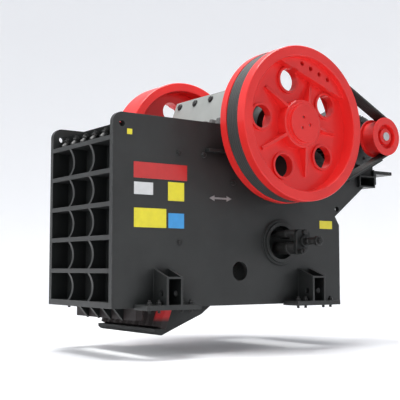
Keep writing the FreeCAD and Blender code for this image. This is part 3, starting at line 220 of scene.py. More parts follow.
FRAME_TONE = Vector((0.023, 0.0242, 0.0238))
frame_paint = charcoal_paint("charcoal_frame_paint", FRAME_TONE, (0.15, 0.15, 0.147), 0.75)
deep_paint = charcoal_paint("charcoal_motor_paint", FRAME_TONE * 0.5, (0.10, 0.10, 0.10), 0.6)
print("frame paint ready")

# %% [markdown]
# ## Signal red enamel
# The wheels, the motor pulley and the swing jaw's casting are red. They are rough castings under a glossy coat, so
# the relief is broader than on plate: a slow pebble from the sand mould under a fine peel. In recesses the red is
# painted lighter and fuller, as painted light that lifts the shade there.

# %% Red enamel
def red_enamel():
    mix = Finish("signal_red_enamel")
    drift = mix.noise(2.3, 3.0)
    mould = mix.noise(60.0, 4.0, 0.6)
    pits = mix.noise(210.0, 2.0).ramp(0.66, 0.80)
    worn = mix.edges(0.007) * mix.noise(30.0, 4.0, 0.7).ramp(0.42, 0.66)
    tone = mix.blend(drift.ramp(0.3, 0.7), colour(0.50, 0.014, 0.013), colour(0.59, 0.020, 0.018))
    tone = mix.blend(mould.ramp(0.55, 0.8) * 0.35, tone, colour(0.42, 0.010, 0.010))
    tone = mix.blend(worn * 0.45, tone, colour(0.78, 0.10, 0.09))
    # Painted light: recesses get a lighter, fuller red that lifts the shade in them.
    painted_recess_lift = 1 - mix.hollows(0.3).ramp(0.45, 0.95)
    tone = mix.blend(painted_recess_lift * 0.85, tone, colour(0.80, 0.022, 0.020))
    relief = mould * 0.8 + mix.noise(340.0, 2.0) * 0.25 - pits * 0.15
    return mix.finish(
        Base_Color=tone,
        Roughness=0.34 + mould * 0.14,
        Normal=mix.bump(relief, 0.25, 0.0014, soften=0.007),
        Coat_Weight=0.16 + drift * 0.10,
        Coat_Roughness=0.12,
        Specular_IOR_Level=0.25,
    )


red_coat = red_enamel()
print("red enamel ready")

# %% [markdown]
# ## Guard grey
# The guard on top of the swing jaw keeps rock off the bearing. It is bare-looking light grey
# plate, scoured downwards by falling stone. Stretching one noise along the plate's slope turns
# round specks into long fine scratches.

# %% Guard grey
def guard_paint():
    mix = Finish("guard_light_grey")
    drift = mix.noise(3.0, 4.0)
    scour = mix.noise(26.0, 5.0, 0.65, stretch=(1.0, 9.0, 1.0)).ramp(0.52, 0.72)
    worn = mix.edges(0.005)
    tone = mix.blend(drift.ramp(0.3, 0.7), colour(0.195, 0.205, 0.195), colour(0.235, 0.245, 0.235))
    tone = mix.blend(scour * 0.35, tone, colour(0.32, 0.33, 0.32))
    tone = mix.blend(worn * 0.5, tone, colour(0.40, 0.40, 0.39))
    return mix.finish(
        Base_Color=tone,
        Roughness=0.42 + scour * 0.12,
        Metallic=scour * 0.25,
        Normal=mix.bump(drift + scour * 0.5, 0.2, 0.001, soften=0.003),
    )


guard_grey = guard_paint()
print("guard grey ready")

# %% [markdown]
# ## Manganese jaw iron
# The jaw dies and cheek plates are cast manganese steel: dark, granular, and polished to bright ridges where rock
# has rubbed. One Voronoi pattern gives the sand grain, and the edge mask does the polishing, because the tooth
# crests are the edges. Corners and pockets in the iron are painted near black as painted shade, and both dies turn
# darker towards the bottom, at the outlet.
# The moving jaw is sprayed red after its die is on, so some red lands on the die's lower corner on
# the drive side, as a patch with a lower, an upper and an inner edge.

# %% Manganese iron
SPRAY_LOW, SPRAY_HIGH = -0.11, 0.02
SPRAY_SOLID, SPRAY_END = -0.45, -0.37


def jaw_iron(name, sprayed=False):
    mix = Finish(name)
    grain = mix.node("ShaderNodeTexVoronoi", {"feature": "F1"},
                     {"Vector": mix.place, "Scale": 150.0}, output="Distance")
    drift = mix.noise(4.0, 5.0, 0.6)
    polish = mix.edges(0.018) * mix.noise(18.0, 4.0).ramp(0.3, 0.6)
    tone = mix.blend(drift.ramp(0.35, 0.7), colour(0.055, 0.055, 0.057), colour(0.11, 0.105, 0.10))
    tone = mix.blend(polish, tone, colour(0.27, 0.27, 0.27))
    # Painted shade: corners and pockets of the iron are painted near black.
    clear_of_painted_shade = mix.hollows(0.5).ramp(0.30, 0.80)
    tone = mix.blend(1 - clear_of_painted_shade, tone, colour(0.008, 0.008, 0.008))
    # The dies turn darker towards the bottom.
    height = mix.node("ShaderNodeSeparateXYZ", None, {"Vector": mix.place}, output="Z")
    tone = mix.blend((height + drift * 0.05).ramp(-0.02, 0.14), colour(0.014, 0.009, 0.009), tone)
    bare = 1.0
    if sprayed:
        across = mix.node("ShaderNodeSeparateXYZ", None, {"Vector": mix.place}, output="Y")
        spray = (height + drift * 0.03).ramp(SPRAY_LOW, SPRAY_LOW + 0.05)
        spray = spray * (1 - height.ramp(SPRAY_HIGH, SPRAY_HIGH + 0.03))
        spray = spray * (1 - (across + drift * 0.06).ramp(SPRAY_SOLID, SPRAY_END))
        bare = 1 - spray
        tone = mix.blend(spray, tone, colour(0.40, 0.007, 0.009))
    return mix.finish(
        Base_Color=tone,
        Roughness=0.62 - polish * 0.3,
        Metallic=(0.25 + polish * 0.6) * bare,
        Normal=mix.bump(grain + drift, 0.5, 0.0025, soften=0.006),
    )


manganese = jaw_iron("manganese_jaw_iron")
sprayed_manganese = jaw_iron("sprayed_jaw_iron", sprayed=True)
print("jaw iron ready, bare and sprayed")

# %% [markdown]
# ## Turned steel
# The shafts are turned on a lathe, which leaves fine rings about the axis. A wave texture in
# rings about Y copies the tool marks, and a thin oil film evens out the shine.

# %% Turned steel
def turned_steel():
    mix = Finish("turned_steel")
    rings = mix.node("ShaderNodeTexWave", {"wave_type": "RINGS", "rings_direction": "Y"},
                     {"Vector": mix.place, "Scale": 160.0, "Distortion": 1.5})
    film = mix.noise(12.0, 4.0)
    tone = mix.blend(film.ramp(0.3, 0.7), colour(0.36, 0.36, 0.37), colour(0.50, 0.50, 0.50))
    return mix.finish(
        Base_Color=tone,
        Metallic=0.9,
        Roughness=0.30 + film * 0.12,
        Normal=mix.bump(rings, 0.12, 0.0004, soften=0.002),
    )


shaft_steel = turned_steel()
print("turned steel ready")

# %% [markdown]
# ## Oiled black hardware
# Nuts, bolts, rams and threaded rods are blackened and oiled. Their corners rub back to grey
# steel where a spanner has turned them, and the oil leaves uneven gloss.

# %% Black hardware
def black_hardware(name, base, bright):
    mix = Finish(name)
    oil = mix.noise(45.0, 4.0, 0.6)
    rubbed = mix.edges(0.0035) * mix.noise(90.0, 3.0).ramp(0.35, 0.6)
    oiled, dry = colour(base, base, base * 1.02), colour(base * 1.7, base * 1.7, base * 1.6)
    tone = mix.blend(oil.ramp(0.35, 0.7), oiled, dry)
    tone = mix.blend(rubbed, tone, colour(bright, bright, bright))
    return mix.finish(
        Base_Color=tone,
        Metallic=0.15 + rubbed * 0.6,
        Roughness=0.34 + oil * 0.25,
        Specular_IOR_Level=0.3,
        Normal=mix.bump(oil, 0.2, 0.0006, soften=0.0015),
    )


black_steel = black_hardware("oiled_black_steel", 0.010, 0.13)
bright_steel = black_hardware("bright_bolt_steel", 0.10, 0.55)
print("hardware steels ready")

# %% [markdown]
# ## Belt rubber
# A crusher's drive belt is a band of V-belts side by side under one woven cover. The cover's weave
# crosses the band at a slant, which two waves at opposite angles give.

# %% Belt rubber
def belt_cover():
    mix = Finish("woven_belt_cover")
    warp = mix.node("ShaderNodeTexWave", {"bands_direction": "DIAGONAL"},
                    {"Vector": mix.place, "Scale": 190.0, "Distortion": 0.6})
    flipped = mix.node("ShaderNodeMapping", None, {"Vector": mix.place, "Scale": (1, -1, 1)})
    weft = mix.node("ShaderNodeTexWave", {"bands_direction": "DIAGONAL"},
                    {"Vector": flipped, "Scale": 190.0, "Distortion": 0.6})
    chalk = mix.noise(14.0, 5.0, 0.65).ramp(0.45, 0.75)
    tone = mix.blend(chalk * 0.5, colour(0.014, 0.0145, 0.014), colour(0.036, 0.037, 0.036))
    tone = mix.blend((warp + weft).ramp(1.2, 1.9) * 0.35, tone, colour(0.070, 0.072, 0.070))
    return mix.finish(
        Base_Color=tone,
        Roughness=0.68 + chalk * 0.12,
        Normal=mix.bump(warp + weft, 0.35, 0.0006),
    )


belt_rubber = belt_cover()
print("belt rubber ready")

# %% [markdown]
# ## Blank marker plates
# The drive side carries thin enamelled plates. They stay blank: a clean field of one colour with
# the faint brush marks, dust and chipped edge that such a plate picks up out of doors.

# %% Marker enamel
def marker_enamel(name, base, chipped):
    mix = Finish(name)
    drift = mix.noise(14.0, 4.0)
    grime = mix.noise(70.0, 4.0, 0.7).ramp(0.55, 0.8)
    chips = mix.edges(0.0022) * mix.noise(120.0, 3.0).ramp(0.48, 0.6)
    tone = mix.blend(drift.ramp(0.3, 0.7), colour(*(base * 0.92)), colour(*(base * 1.05)))
    tone = mix.blend(grime * 0.12, tone, colour(0.12, 0.11, 0.10))
    tone = mix.blend(chips, tone, colour(*chipped))
    return mix.finish(
        Base_Color=tone,
        Roughness=0.28 + grime * 0.2,
        Normal=mix.bump(drift + grime * 0.3, 0.15, 0.0004, soften=0.001),
        Coat_Weight=0.25 + drift * 0.1,
        Coat_Roughness=0.1,
    )


CHIP_TONE = (0.30, 0.30, 0.29)
marker_red = marker_enamel("marker_red_enamel", Vector((0.40, 0.012, 0.011)), CHIP_TONE)
marker_white = marker_enamel("marker_white_enamel", Vector((0.50, 0.51, 0.51)), CHIP_TONE)
marker_blue = marker_enamel("marker_blue_enamel", Vector((0.022, 0.23, 0.52)), CHIP_TONE)
marker_yellow = marker_enamel("marker_yellow_enamel", Vector((0.60, 0.53, 0.012)), CHIP_TONE)
marker_grey = marker_enamel("marker_grey_enamel", Vector((0.20, 0.19, 0.19)), CHIP_TONE)
print("five marker enamels ready")

# %% [markdown]
# ## Dressing the CAD nodes
# The record already says which slot each node belongs to, so most finishes follow from the slot.
# Five nodes differ from the rest of their slot: the sprayed die, the grey arrow, and the motor's
# darker base, crossbeam and bracket.

# %% Assign finishes by slot
SLOT_FINISH = {
    "frame_paint": frame_paint,
    "red_paint": red_coat,
    "guard_grey": guard_grey,
    "manganese_steel": manganese,
    "machined_steel": shaft_steel,
    "dark_hardware": black_steel,
    "belt_rubber": belt_rubber,
    "plate_red": marker_red,
    "plate_white": marker_white,
    "plate_blue": marker_blue,
    "plate_yellow": marker_yellow,
}
NODE_FINISH = {
    "swing_jaw_die": sprayed_manganese,
    "arrow_marker": marker_grey,
    "motor_base": deep_paint,
    "motor_crossbeam": deep_paint,
    "tension_bracket": deep_paint,
}
for entry in frame["record"]["subparts"]:
    target = nodes[entry["node"]]
    target.data.materials.clear()
    target.data.materials.append(NODE_FINISH.get(entry["node"], SLOT_FINISH[entry["material_slot"]]))
print(len(nodes), "CAD nodes dressed")

# %% [markdown]
# ## Mesh helpers
# Most small pieces here are either turned or cut from bar, so two makers cover them: one spins a
# half profile about an axis, and one extrudes an outline. Both write into a bmesh through a
# matrix, so many like pieces can share one object.

# %% Mesh helpers
ALONG_Y = Matrix.Rotation(-math.pi / 2, 4, "X")


def spin(bm, profile, place, steps=32):
    """Turn a list of (height, radius) about the local Z axis."""
    rings = []
    for height, radius in profile:
        if radius < 1e-6:
            rings.append([bm.verts.new(place @ Vector((0, 0, height)))])
            continue
        ring = []
        for step in range(steps):
            angle = 2 * math.pi * step / steps
            point = Vector((radius * math.cos(angle), radius * math.sin(angle), height))
            ring.append(bm.verts.new(place @ point))
        rings.append(ring)
    for lower, upper in zip(rings, rings[1:]):
        for step in range(steps):
            following = (step + 1) % steps
            corners = [lower[step % len(lower)], lower[following % len(lower)],
                       upper[following % len(upper)], upper[step % len(upper)]]
            distinct = list(dict.fromkeys(corners))
            if len(distinct) > 2:
                bm.faces.new(distinct).smooth = True


def extrude(bm, outline, depth, place):
    """Extrude an outline of (x, y) points along local Z."""
    low = [bm.verts.new(place @ Vector((x, y, 0))) for x, y in outline]
    high = [bm.verts.new(place @ Vector((x, y, depth))) for x, y in outline]
    bm.faces.new(low[::-1])
    bm.faces.new(high)
    for index in range(len(outline)):
        following = (index + 1) % len(outline)
        bm.faces.new([low[index], low[following], high[following], high[index]])


def block(bm, low, high, place):
    """A block between two corners."""
    outline = [(low[0], low[1]), (high[0], low[1]), (high[0], high[1]), (low[0], high[1])]
    extrude(bm, outline, high[2] - low[2], place @ Matrix.Translation((0, 0, low[2])))


# %% [markdown]
# ## From a bmesh to a riding piece
# A finished bmesh becomes an object with one finish. It rides on the body that carries it, so it moves when that
# body moves, and where it stands in for a CAD node that node is hidden.

# %% Piece maker
def piece(name, bm, body, finish, bevel=0.0, replaces=()):
    """Turn a bmesh into an object that rides on a body, with its arrises broken when a bevel width is given."""
    bmesh.ops.recalc_face_normals(bm, faces=bm.faces)
    mesh = bpy.data.meshes.new(name)
    bm.to_mesh(mesh)
    bm.free()
    made = bpy.data.objects.new(name, mesh)
    bpy.context.scene.collection.objects.link(made)
    mesh.materials.append(finish)
    if bevel:
        rounding = made.modifiers.new("broken_arrises", "BEVEL")
        rounding.width = bevel
        rounding.segments = 2
        rounding.limit_method = "ANGLE"
        rounding.angle_limit = math.radians(40)
        rounding.harden_normals = False
    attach(made, body)
    if replaces:
        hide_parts(*replaces)
    print(name, len(mesh.polygons), "faces")


def aim(origin, direction, turn=0.0):
    """A matrix that puts local Z along a direction from an origin."""
    return (Matrix.Translation(origin) @ Vector(direction).to_track_quat("Z", "Y").to_matrix().to_4x4()
            @ Matrix.Rotation(turn, 4, "Z"))


# %% [markdown]
# ## Nuts, heads and threads
# A hexagon nut is a plain prism whose corners are turned off at 30 degrees. Lofting from the full
# hexagon to a slightly smaller one gives that chamfer in one more ring of faces. Threads are cut
# as close rings, which at this size read the same as a helix and mesh far more cleanly.

# %% Fastener makers
def hexagon(bm, radius, height, place):
    """A hexagon nut or head with chamfered corners at its top."""
    chamfer = radius * 0.12
    levels = [(0.0, radius), (height - chamfer, radius), (height, radius - chamfer * 1.4)]
    rings = []
    for level, size in levels:
        ring = [bm.verts.new(place @ Vector((size * math.cos(math.pi / 3 * side),
                                             size * math.sin(math.pi / 3 * side), level)))
                for side in range(6)]
        rings.append(ring)
    bm.faces.new(rings[0][::-1])
    bm.faces.new(rings[-1])
    for lower, upper in zip(rings, rings[1:]):
        for side in range(6):
            following = (side + 1) % 6
            bm.faces.new([lower[side], lower[following], upper[following], upper[side]])


def washer(bm, inner, outer, height, place, steps=28):
    """A flat ring whose upper outer edge is broken."""
    profile = [(0, inner), (0, outer), (height * 0.7, outer), (height, outer - height * 0.3),
               (height, inner), (0, inner)]
    spin(bm, profile, place, steps)


def thread(bm, radius, start, stop, pitch, place, steps=18):
    """A threaded rod from start to stop along local Z, closed at both ends."""
    turns = max(2, int((stop - start) / pitch))
    profile = [(start, 0.0), (start, radius * 0.84)]
    for turn in range(turns):
        base = start + (stop - start) * turn / turns
        step = (stop - start) / turns
        profile.append((base + step * 0.5, radius))
        profile.append((base + step * 0.98, radius * 0.88))
    profile.append((stop, radius * 0.80))
    profile.append((stop, 0.0))
    spin(bm, profile, place, steps)


# %% [markdown]
# ## Anchor studs
# Four studs go through each foot. The mounts in the record hold their true spacing, so the studs
# are placed from the mounts: every rectangle gives four corners, and four rectangles give sixteen.
# Each stud is turned by a different amount, because no fitter lines up the nuts.

# %% Anchor studs
FOOT_PLATE_TOP = 0.045
STUD_PITCH = 0.0055
STUD_WASHER = 0.004
STUD_NUT = 0.024
stud_low, stud_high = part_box("foot_studs")
bm = bmesh.new()
for mount in mounts.values():
    if mount["kind"] != "bolt_pattern":
        continue
    half_x = mount["dims"]["spacing_x_mm"] / 2000
    half_y = mount["dims"]["spacing_y_mm"] / 2000
    radius = mount["dims"]["stud_r_mm"] / 1000
    for sign_x in (-1, 1):
        for sign_y in (-1, 1):
            turn = 0.35 * sign_x + half_x * 3 + sign_y
            stand = Matrix.Translation((half_x * sign_x, half_y * sign_y, 0)) @ Matrix.Rotation(turn, 4, "Z")
            thread(bm, radius, stud_low.z, stud_high.z, STUD_PITCH, stand)
            seat = stand @ Matrix.Translation((0, 0, FOOT_PLATE_TOP))
            washer(bm, radius * 1.02, radius * 1.95, STUD_WASHER, seat)
            hexagon(bm, radius * 1.7, STUD_NUT, seat @ Matrix.Translation((0, 0, STUD_WASHER)))
piece("anchor_studs", bm, "frame", black_steel, replaces=["foot_studs"])

# %% [markdown]
# ## Guard bolts
# The guard is held near its top edge by a row of four hexagon heads on washers. The CAD heads mark
# the row, so the new ones take their centres from it, and lean back with the jaw.

# %% Guard bolts
JAW_LEAN = math.radians(20.5)
guard_out = Vector((-math.cos(JAW_LEAN), 0, math.sin(JAW_LEAN)))
bolt_low, bolt_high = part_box("guard_bolts")
GUARD_BOLT_COUNT = 4
GUARD_BOLT_RADIUS = 0.040
GUARD_BOLT_HEIGHT = 0.018
GUARD_WASHER = 0.004
row_start = bolt_low.y + GUARD_BOLT_RADIUS * math.sqrt(3) / 2
row_stop = bolt_high.y - GUARD_BOLT_RADIUS * math.sqrt(3) / 2
row_middle = Vector(((bolt_low.x + bolt_high.x) / 2, 0, (bolt_low.z + bolt_high.z) / 2))
bm = bmesh.new()
for index in range(GUARD_BOLT_COUNT):
    across = row_start + (row_stop - row_start) * index / (GUARD_BOLT_COUNT - 1)
    seat = Vector((row_middle.x, across, row_middle.z)) - guard_out * GUARD_BOLT_HEIGHT / 2
    stand = aim(seat, guard_out, 0.4 * index)
    washer(bm, 0.008, GUARD_BOLT_RADIUS, GUARD_WASHER, stand)
    hexagon(bm, GUARD_BOLT_RADIUS * 0.9, GUARD_BOLT_HEIGHT - GUARD_WASHER,
            stand @ Matrix.Translation((0, 0, GUARD_WASHER)))
piece("guard_bolt_heads", bm, "swing_jaw", black_steel, replaces=["guard_bolts"])

# %% [markdown]
# ## Wedge studs
# Six sloping studs pull the wedge bar down onto the fixed die, each with a nut and a lock nut.
# Their ends stand clear of the nuts and stay bright, because they are adjusted often and never
# painted.

# %% Wedge studs
wedge_low, wedge_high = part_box("jaw_wedge_studs")
WEDGE_STUD_COUNT = 6
WEDGE_STUD_RADIUS = 0.022
WEDGE_STUD_LENGTH = 0.098
WEDGE_NUT_LEVELS = (0.005, 0.027)
pull = Vector((-1, 0, -1)).normalized()
wedge_nut_radius = WEDGE_STUD_RADIUS * 1.8
first_stud = wedge_low.y + wedge_nut_radius * math.sqrt(3) / 2
last_stud = wedge_high.y - wedge_nut_radius * math.sqrt(3) / 2
bar_low, bar_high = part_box("jaw_wedge_bar")
overhang = bar_high.z - bar_low.z
seat_x = bar_low.x + overhang / 2
seat_z = bar_high.z - overhang / 2
rods, nuts = bmesh.new(), bmesh.new()
for index in range(WEDGE_STUD_COUNT):
    across = first_stud + (last_stud - first_stud) * index / (WEDGE_STUD_COUNT - 1)
    stand = aim((seat_x, across, seat_z), pull, 0.3 * index)
    thread(rods, WEDGE_STUD_RADIUS, 0.0, WEDGE_STUD_LENGTH, 0.006, stand, 20)
    washer(nuts, WEDGE_STUD_RADIUS, WEDGE_STUD_RADIUS * 2.0, 0.005, stand)
    for level in WEDGE_NUT_LEVELS:
        turned_nut = stand @ Matrix.Translation((0, 0, level)) @ Matrix.Rotation(level * 20, 4, "Z")
        hexagon(nuts, wedge_nut_radius, 0.021, turned_nut)
piece("wedge_stud_threads", rods, "frame", bright_steel, replaces=["jaw_wedge_studs"])
piece("wedge_stud_nuts", nuts, "frame", black_steel)

# %% [markdown]
# ## Cheek bolts
# The cheek plates inside are drawn up by bolts through the side plates. From outside each one is
# a heavy blackened hexagon on a washer. Their places are measured from the side plate's front
# lower corner, and the far side mirrors the near one.

# %% Cheek bolts
near_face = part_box("near_side_plate")[0].y
far_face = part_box("far_side_plate")[1].y
plate_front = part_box("near_side_plate")[0].x
plate_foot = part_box("near_side_plate")[0].z
CHEEK_WASHER = 0.004
CHEEK_BOLTS = [(0.727, 1.471), (1.019, 1.466), (0.736, 0.611), (1.380, 1.216)]
bm = bmesh.new()
for along, up in CHEEK_BOLTS:
    for face, outward in ((near_face, -1), (far_face, 1)):
        stand = aim((plate_front + along, face, plate_foot + up), (0, outward, 0), along * 3)
        washer(bm, 0.012, 0.030, CHEEK_WASHER, stand)
        hexagon(bm, 0.027, 0.016, stand @ Matrix.Translation((0, 0, CHEEK_WASHER)))
piece("cheek_bolt_heads", bm, "frame", black_steel, replaces=["side_bolts"])

# %% [markdown]
# ## Weld beads
# Every gusset, base plate and ring is welded all round, and a weld is what makes heavy plate look
# heavy. A bead is a half-sunk rope whose thickness pulses with each pass of the torch, so it is
# made as a tube along a path with a small ripple in its radius.

# %% Weld maker
RIPPLE = 0.011


def weld(bm, path, radius, closed=False, sides=7):
    """A rippled bead along a list of points."""
    points = [Vector(point) for point in path]
    if closed:
        points.append(points[0])
    lengths = [(end - start).length for start, end in zip(points, points[1:])]
    total = sum(lengths)
    count = max(4, int(total / RIPPLE) * 2)
    rings = []
    for step in range(count + (0 if closed else 1)):
        distance = total * step / count
        leg = 0
        while leg < len(lengths) - 1 and distance > lengths[leg]:
            distance -= lengths[leg]
            leg += 1
        forward = (points[leg + 1] - points[leg]).normalized()
        centre = points[leg] + forward * distance
        across = forward.to_track_quat("Z", "Y").to_matrix()
        size = radius * (1.0 if step % 2 else 0.8)
        ring = []
        for side in range(sides):
            angle = 2 * math.pi * side / sides
            ring.append(bm.verts.new(centre + across @ Vector((size * math.cos(angle), size * math.sin(angle), 0))))
        rings.append(ring)
    pairs = list(zip(rings, rings[1:] + (rings[:1] if closed else [])))
    for lower, upper in pairs:
        for side in range(sides):
            following = (side + 1) % sides
            bm.faces.new([lower[side], lower[following], upper[following], upper[side]]).smooth = True
    if not closed:
        bm.faces.new(rings[0][::-1])
        bm.faces.new(rings[-1])


# %% [markdown]
# ## Welds on the feet
# Each foot is two gussets and a tie on a base plate, all joined to the side plate. The beads run
# up both faces of every gusset and along the base.

# %% Foot welds
GUSSET_SPACING = 0.156
GUSSET_THICKNESS = 0.022
BASE_HALF_LENGTH = 0.294
FOOT_BEAD = 0.007
BASE_BEAD = 0.008
FOOT_CENTRES = (-0.9, 0.9)
gusset_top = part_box("near_feet")[1].z
bm = bmesh.new()
for face, outward, node in ((near_face, -1, "near_feet"), (far_face, 1, "far_feet")):
    foot_low, foot_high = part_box(node)
    reach = foot_high.y - foot_low.y
    edge = face + outward * (reach - 0.006)
    root = face + outward * 0.002
    for centre in FOOT_CENTRES:
        for column in (-1, 1):
            for skin in (-1, 1):
                x = centre + column * GUSSET_SPACING / 2 + skin * (GUSSET_THICKNESS / 2 + 0.001)
                weld(bm, [(x, root, FOOT_PLATE_TOP), (x, root, gusset_top)], FOOT_BEAD)
                weld(bm, [(x, face + outward * 0.004, FOOT_PLATE_TOP + 0.001), (x, edge, FOOT_PLATE_TOP + 0.001)],
                     FOOT_BEAD)
        weld(bm, [(centre - BASE_HALF_LENGTH, root, FOOT_PLATE_TOP),
                  (centre + BASE_HALF_LENGTH, root, FOOT_PLATE_TOP)], BASE_BEAD)
piece("foot_welds", bm, "frame", frame_paint)

# %% [markdown]
# ## Ring and ledge welds
# The stepped ring round the adjuster and the ledge under each bearing are also welded on. The
# ring's bead closes on itself, so its path is a circle of points.

# %% Ring and ledge welds
ring_low, ring_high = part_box("adjuster_rings")
ring_centre = Vector(((ring_low.x + ring_high.x) / 2, 0, (ring_low.z + ring_high.z) / 2))
RING_STEPS = 72
LEDGE_RUN = 0.5
bead_radius = (ring_high.x - ring_low.x) / 2 + 0.001
ledge_low, ledge_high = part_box("bearing_ledges")
bm = bmesh.new()
for face, outward in ((near_face, -1), (far_face, 1)):
    root = face + outward * 0.001
    circle = []
    for step in range(RING_STEPS):
        angle = 2 * math.pi * step / RING_STEPS
        circle.append((ring_centre.x + bead_radius * math.cos(angle), root,
                       ring_centre.z + bead_radius * math.sin(angle)))
    weld(bm, circle, 0.008, closed=True)
    for start, stop in ((ledge_low.x, ledge_low.x + LEDGE_RUN), (ledge_high.x - LEDGE_RUN, ledge_high.x)):
        for level in (ledge_low.z, ledge_high.z):
            weld(bm, [(start, root, level), (stop, root, level)], 0.006)
piece("ring_welds", bm, "frame", frame_paint)

# %% [markdown]
# ## The drive belt
# The belt is a loop of six V-belts under one cover. Its path is two arcs and two straight runs.
# The path is worked out from the two joints' axes and the CAD loop's box, and it stays still while
# the wheels turn, as one fixed loop.

# %% Belt path
belt_low, belt_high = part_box("drive_belt")
wheel_axis = Vector(joints["rotor_spin"]["pos_m"])
pulley_axis = Vector(joints["motor_spin"]["pos_m"])
wheel_run = wheel_axis.x - belt_low.x
pulley_run = belt_high.x - pulley_axis.x
WHEEL_STEPS, PULLEY_STEPS, STRAIGHT_STEPS = 120, 40, 26
separation = pulley_axis - wheel_axis
distance = math.hypot(separation.x, separation.z)
heading = math.atan2(separation.z, separation.x)
spread = math.acos((wheel_run - pulley_run) / distance)


def belt_path():
    """Stations round the loop: (axis, angle, radius) on an arc, or ("straight", share, side)."""
    stations = []
    for step in range(WHEEL_STEPS + 1):
        angle = heading + spread + (2 * math.pi - 2 * spread) * step / WHEEL_STEPS
        stations.append((wheel_axis, angle, wheel_run))
    for step in range(1, STRAIGHT_STEPS):
        stations.append(("straight", step / STRAIGHT_STEPS, -1))
    for step in range(PULLEY_STEPS + 1):
        stations.append((pulley_axis, heading - spread + 2 * spread * step / PULLEY_STEPS, pulley_run))
    for step in range(1, STRAIGHT_STEPS):
        stations.append(("straight", step / STRAIGHT_STEPS, 1))
    return stations


def tangent_point(side, centre, run, inset):
    """Where a straight run of the belt leaves a wheel, on the upper or the lower side."""
    angle = heading + spread * side
    return Vector((centre.x + (run - inset) * math.cos(angle), 0, centre.z + (run - inset) * math.sin(angle)))


def station_point(station, inset):
    """A point of the loop's section, inset from its outside."""
    kind, value, extra = station
    if kind == "straight":
        start = tangent_point(extra, wheel_axis if extra < 0 else pulley_axis,
                              wheel_run if extra < 0 else pulley_run, inset)
        stop = tangent_point(extra, pulley_axis if extra < 0 else wheel_axis,
                             pulley_run if extra < 0 else wheel_run, inset)
        return start.lerp(stop, value)
    return Vector((kind.x + (extra - inset) * math.cos(value), 0, kind.z + (extra - inset) * math.sin(value)))


# %% [markdown]
# ## The belt's section
# The section is a comb of shallow crowns, so the grooves between the belts are real and the edge
# shows the layers. It is laid at every station of the path, and neighbours are joined by faces.

# %% Belt band
BELT_THICKNESS = 0.023
STRANDS = 6
strand = (belt_high.y - belt_low.y) / STRANDS
section = []
for index in range(STRANDS):
    start = belt_low.y + strand * index
    section += [(start + strand * 0.03, 0.0035), (start + strand * 0.12, 0.0006), (start + strand * 0.5, 0.0),
                (start + strand * 0.88, 0.0006), (start + strand * 0.97, 0.0035)]
for index in reversed(range(STRANDS)):
    start = belt_low.y + strand * index
    section += [(start + strand * 0.80, BELT_THICKNESS), (start + strand * 0.20, BELT_THICKNESS),
                (start + strand * 0.02, BELT_THICKNESS * 0.35)]
bm = bmesh.new()
loops = []
for station in belt_path():
    ring = []
    for across, inset in section:
        spot = station_point(station, inset)
        ring.append(bm.verts.new((spot.x, across, spot.z)))
    loops.append(ring)
for first, second in zip(loops, loops[1:] + loops[:1]):
    for index in range(len(section)):
        following = (index + 1) % len(section)
        bm.faces.new([first[index], first[following], second[following], second[index]]).smooth = True
piece("v_belt_band", bm, "frame", belt_rubber, replaces=["drive_belt"])

# %% [markdown]
# ## The motor
# A foot-mounted motor of this size has a ribbed barrel, two bolted end shields, a fan cowl with a
# slotted end and a terminal box on top. The barrel is spun, the fins are thin plates set round
# it, and everything is turned to the slope of its base in one matrix. The fins leave two gaps, one
# over the feet and one under the terminal box.

# %% Motor
MOTOR_TILT = math.radians(26.5)
MOTOR_RADIUS = 0.300
MOTOR_SHAFT_HEIGHT = 0.315
END_SHIELD_LENGTH = 0.10
COWL_LENGTH = 0.24
FIN_HEIGHT = 0.042
FIN_COUNT = 44
FOOT_ARC = -0.80
BOX_ARC = 0.36
motor_low, motor_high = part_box("motor")
motor_length = motor_high.y - motor_low.y
lean = Matrix.Translation((pulley_axis.x, motor_low.y, pulley_axis.z)) @ Matrix.Rotation(-MOTOR_TILT, 4, "Y")
turned = lean @ ALONG_Y
body_start, body_stop = END_SHIELD_LENGTH, motor_length - COWL_LENGTH
core = MOTOR_RADIUS - FIN_HEIGHT
bm = bmesh.new()
spin(bm, [(0.0, 0.0), (0.0, 0.115), (0.012, 0.128), (0.035, 0.135), (0.06, core * 0.80), (0.075, core * 0.95),
          (body_start - 0.01, core + 0.016), (body_start + 0.012, core + 0.018), (body_start + 0.02, core),
          (body_stop - 0.02, core), (body_stop - 0.012, core + 0.016), (body_stop + 0.015, core + 0.016),
          (body_stop + 0.03, core * 0.97)], turned, 64)
for index in range(FIN_COUNT):
    angle = 2 * math.pi * index / FIN_COUNT
    if math.cos(angle - math.pi / 2) < FOOT_ARC or abs(angle - math.pi / 2) < BOX_ARC:
        continue
    fin = lean @ Matrix.Rotation(-angle, 4, "Y")
    block(bm, (core - 0.008, body_start + 0.022, -0.0035), (MOTOR_RADIUS - 0.003, body_stop - 0.022, 0.0035), fin)
piece("motor_barrel", bm, "frame", deep_paint, replaces=["motor"])

# %% [markdown]
# ## The motor's cowl, feet and box
# The fan end is a thin spun cowl with rings and spokes over its air inlet. Four cast feet carry the
# barrel, each with two webs, and the terminal box is a block under a slightly wider lid.

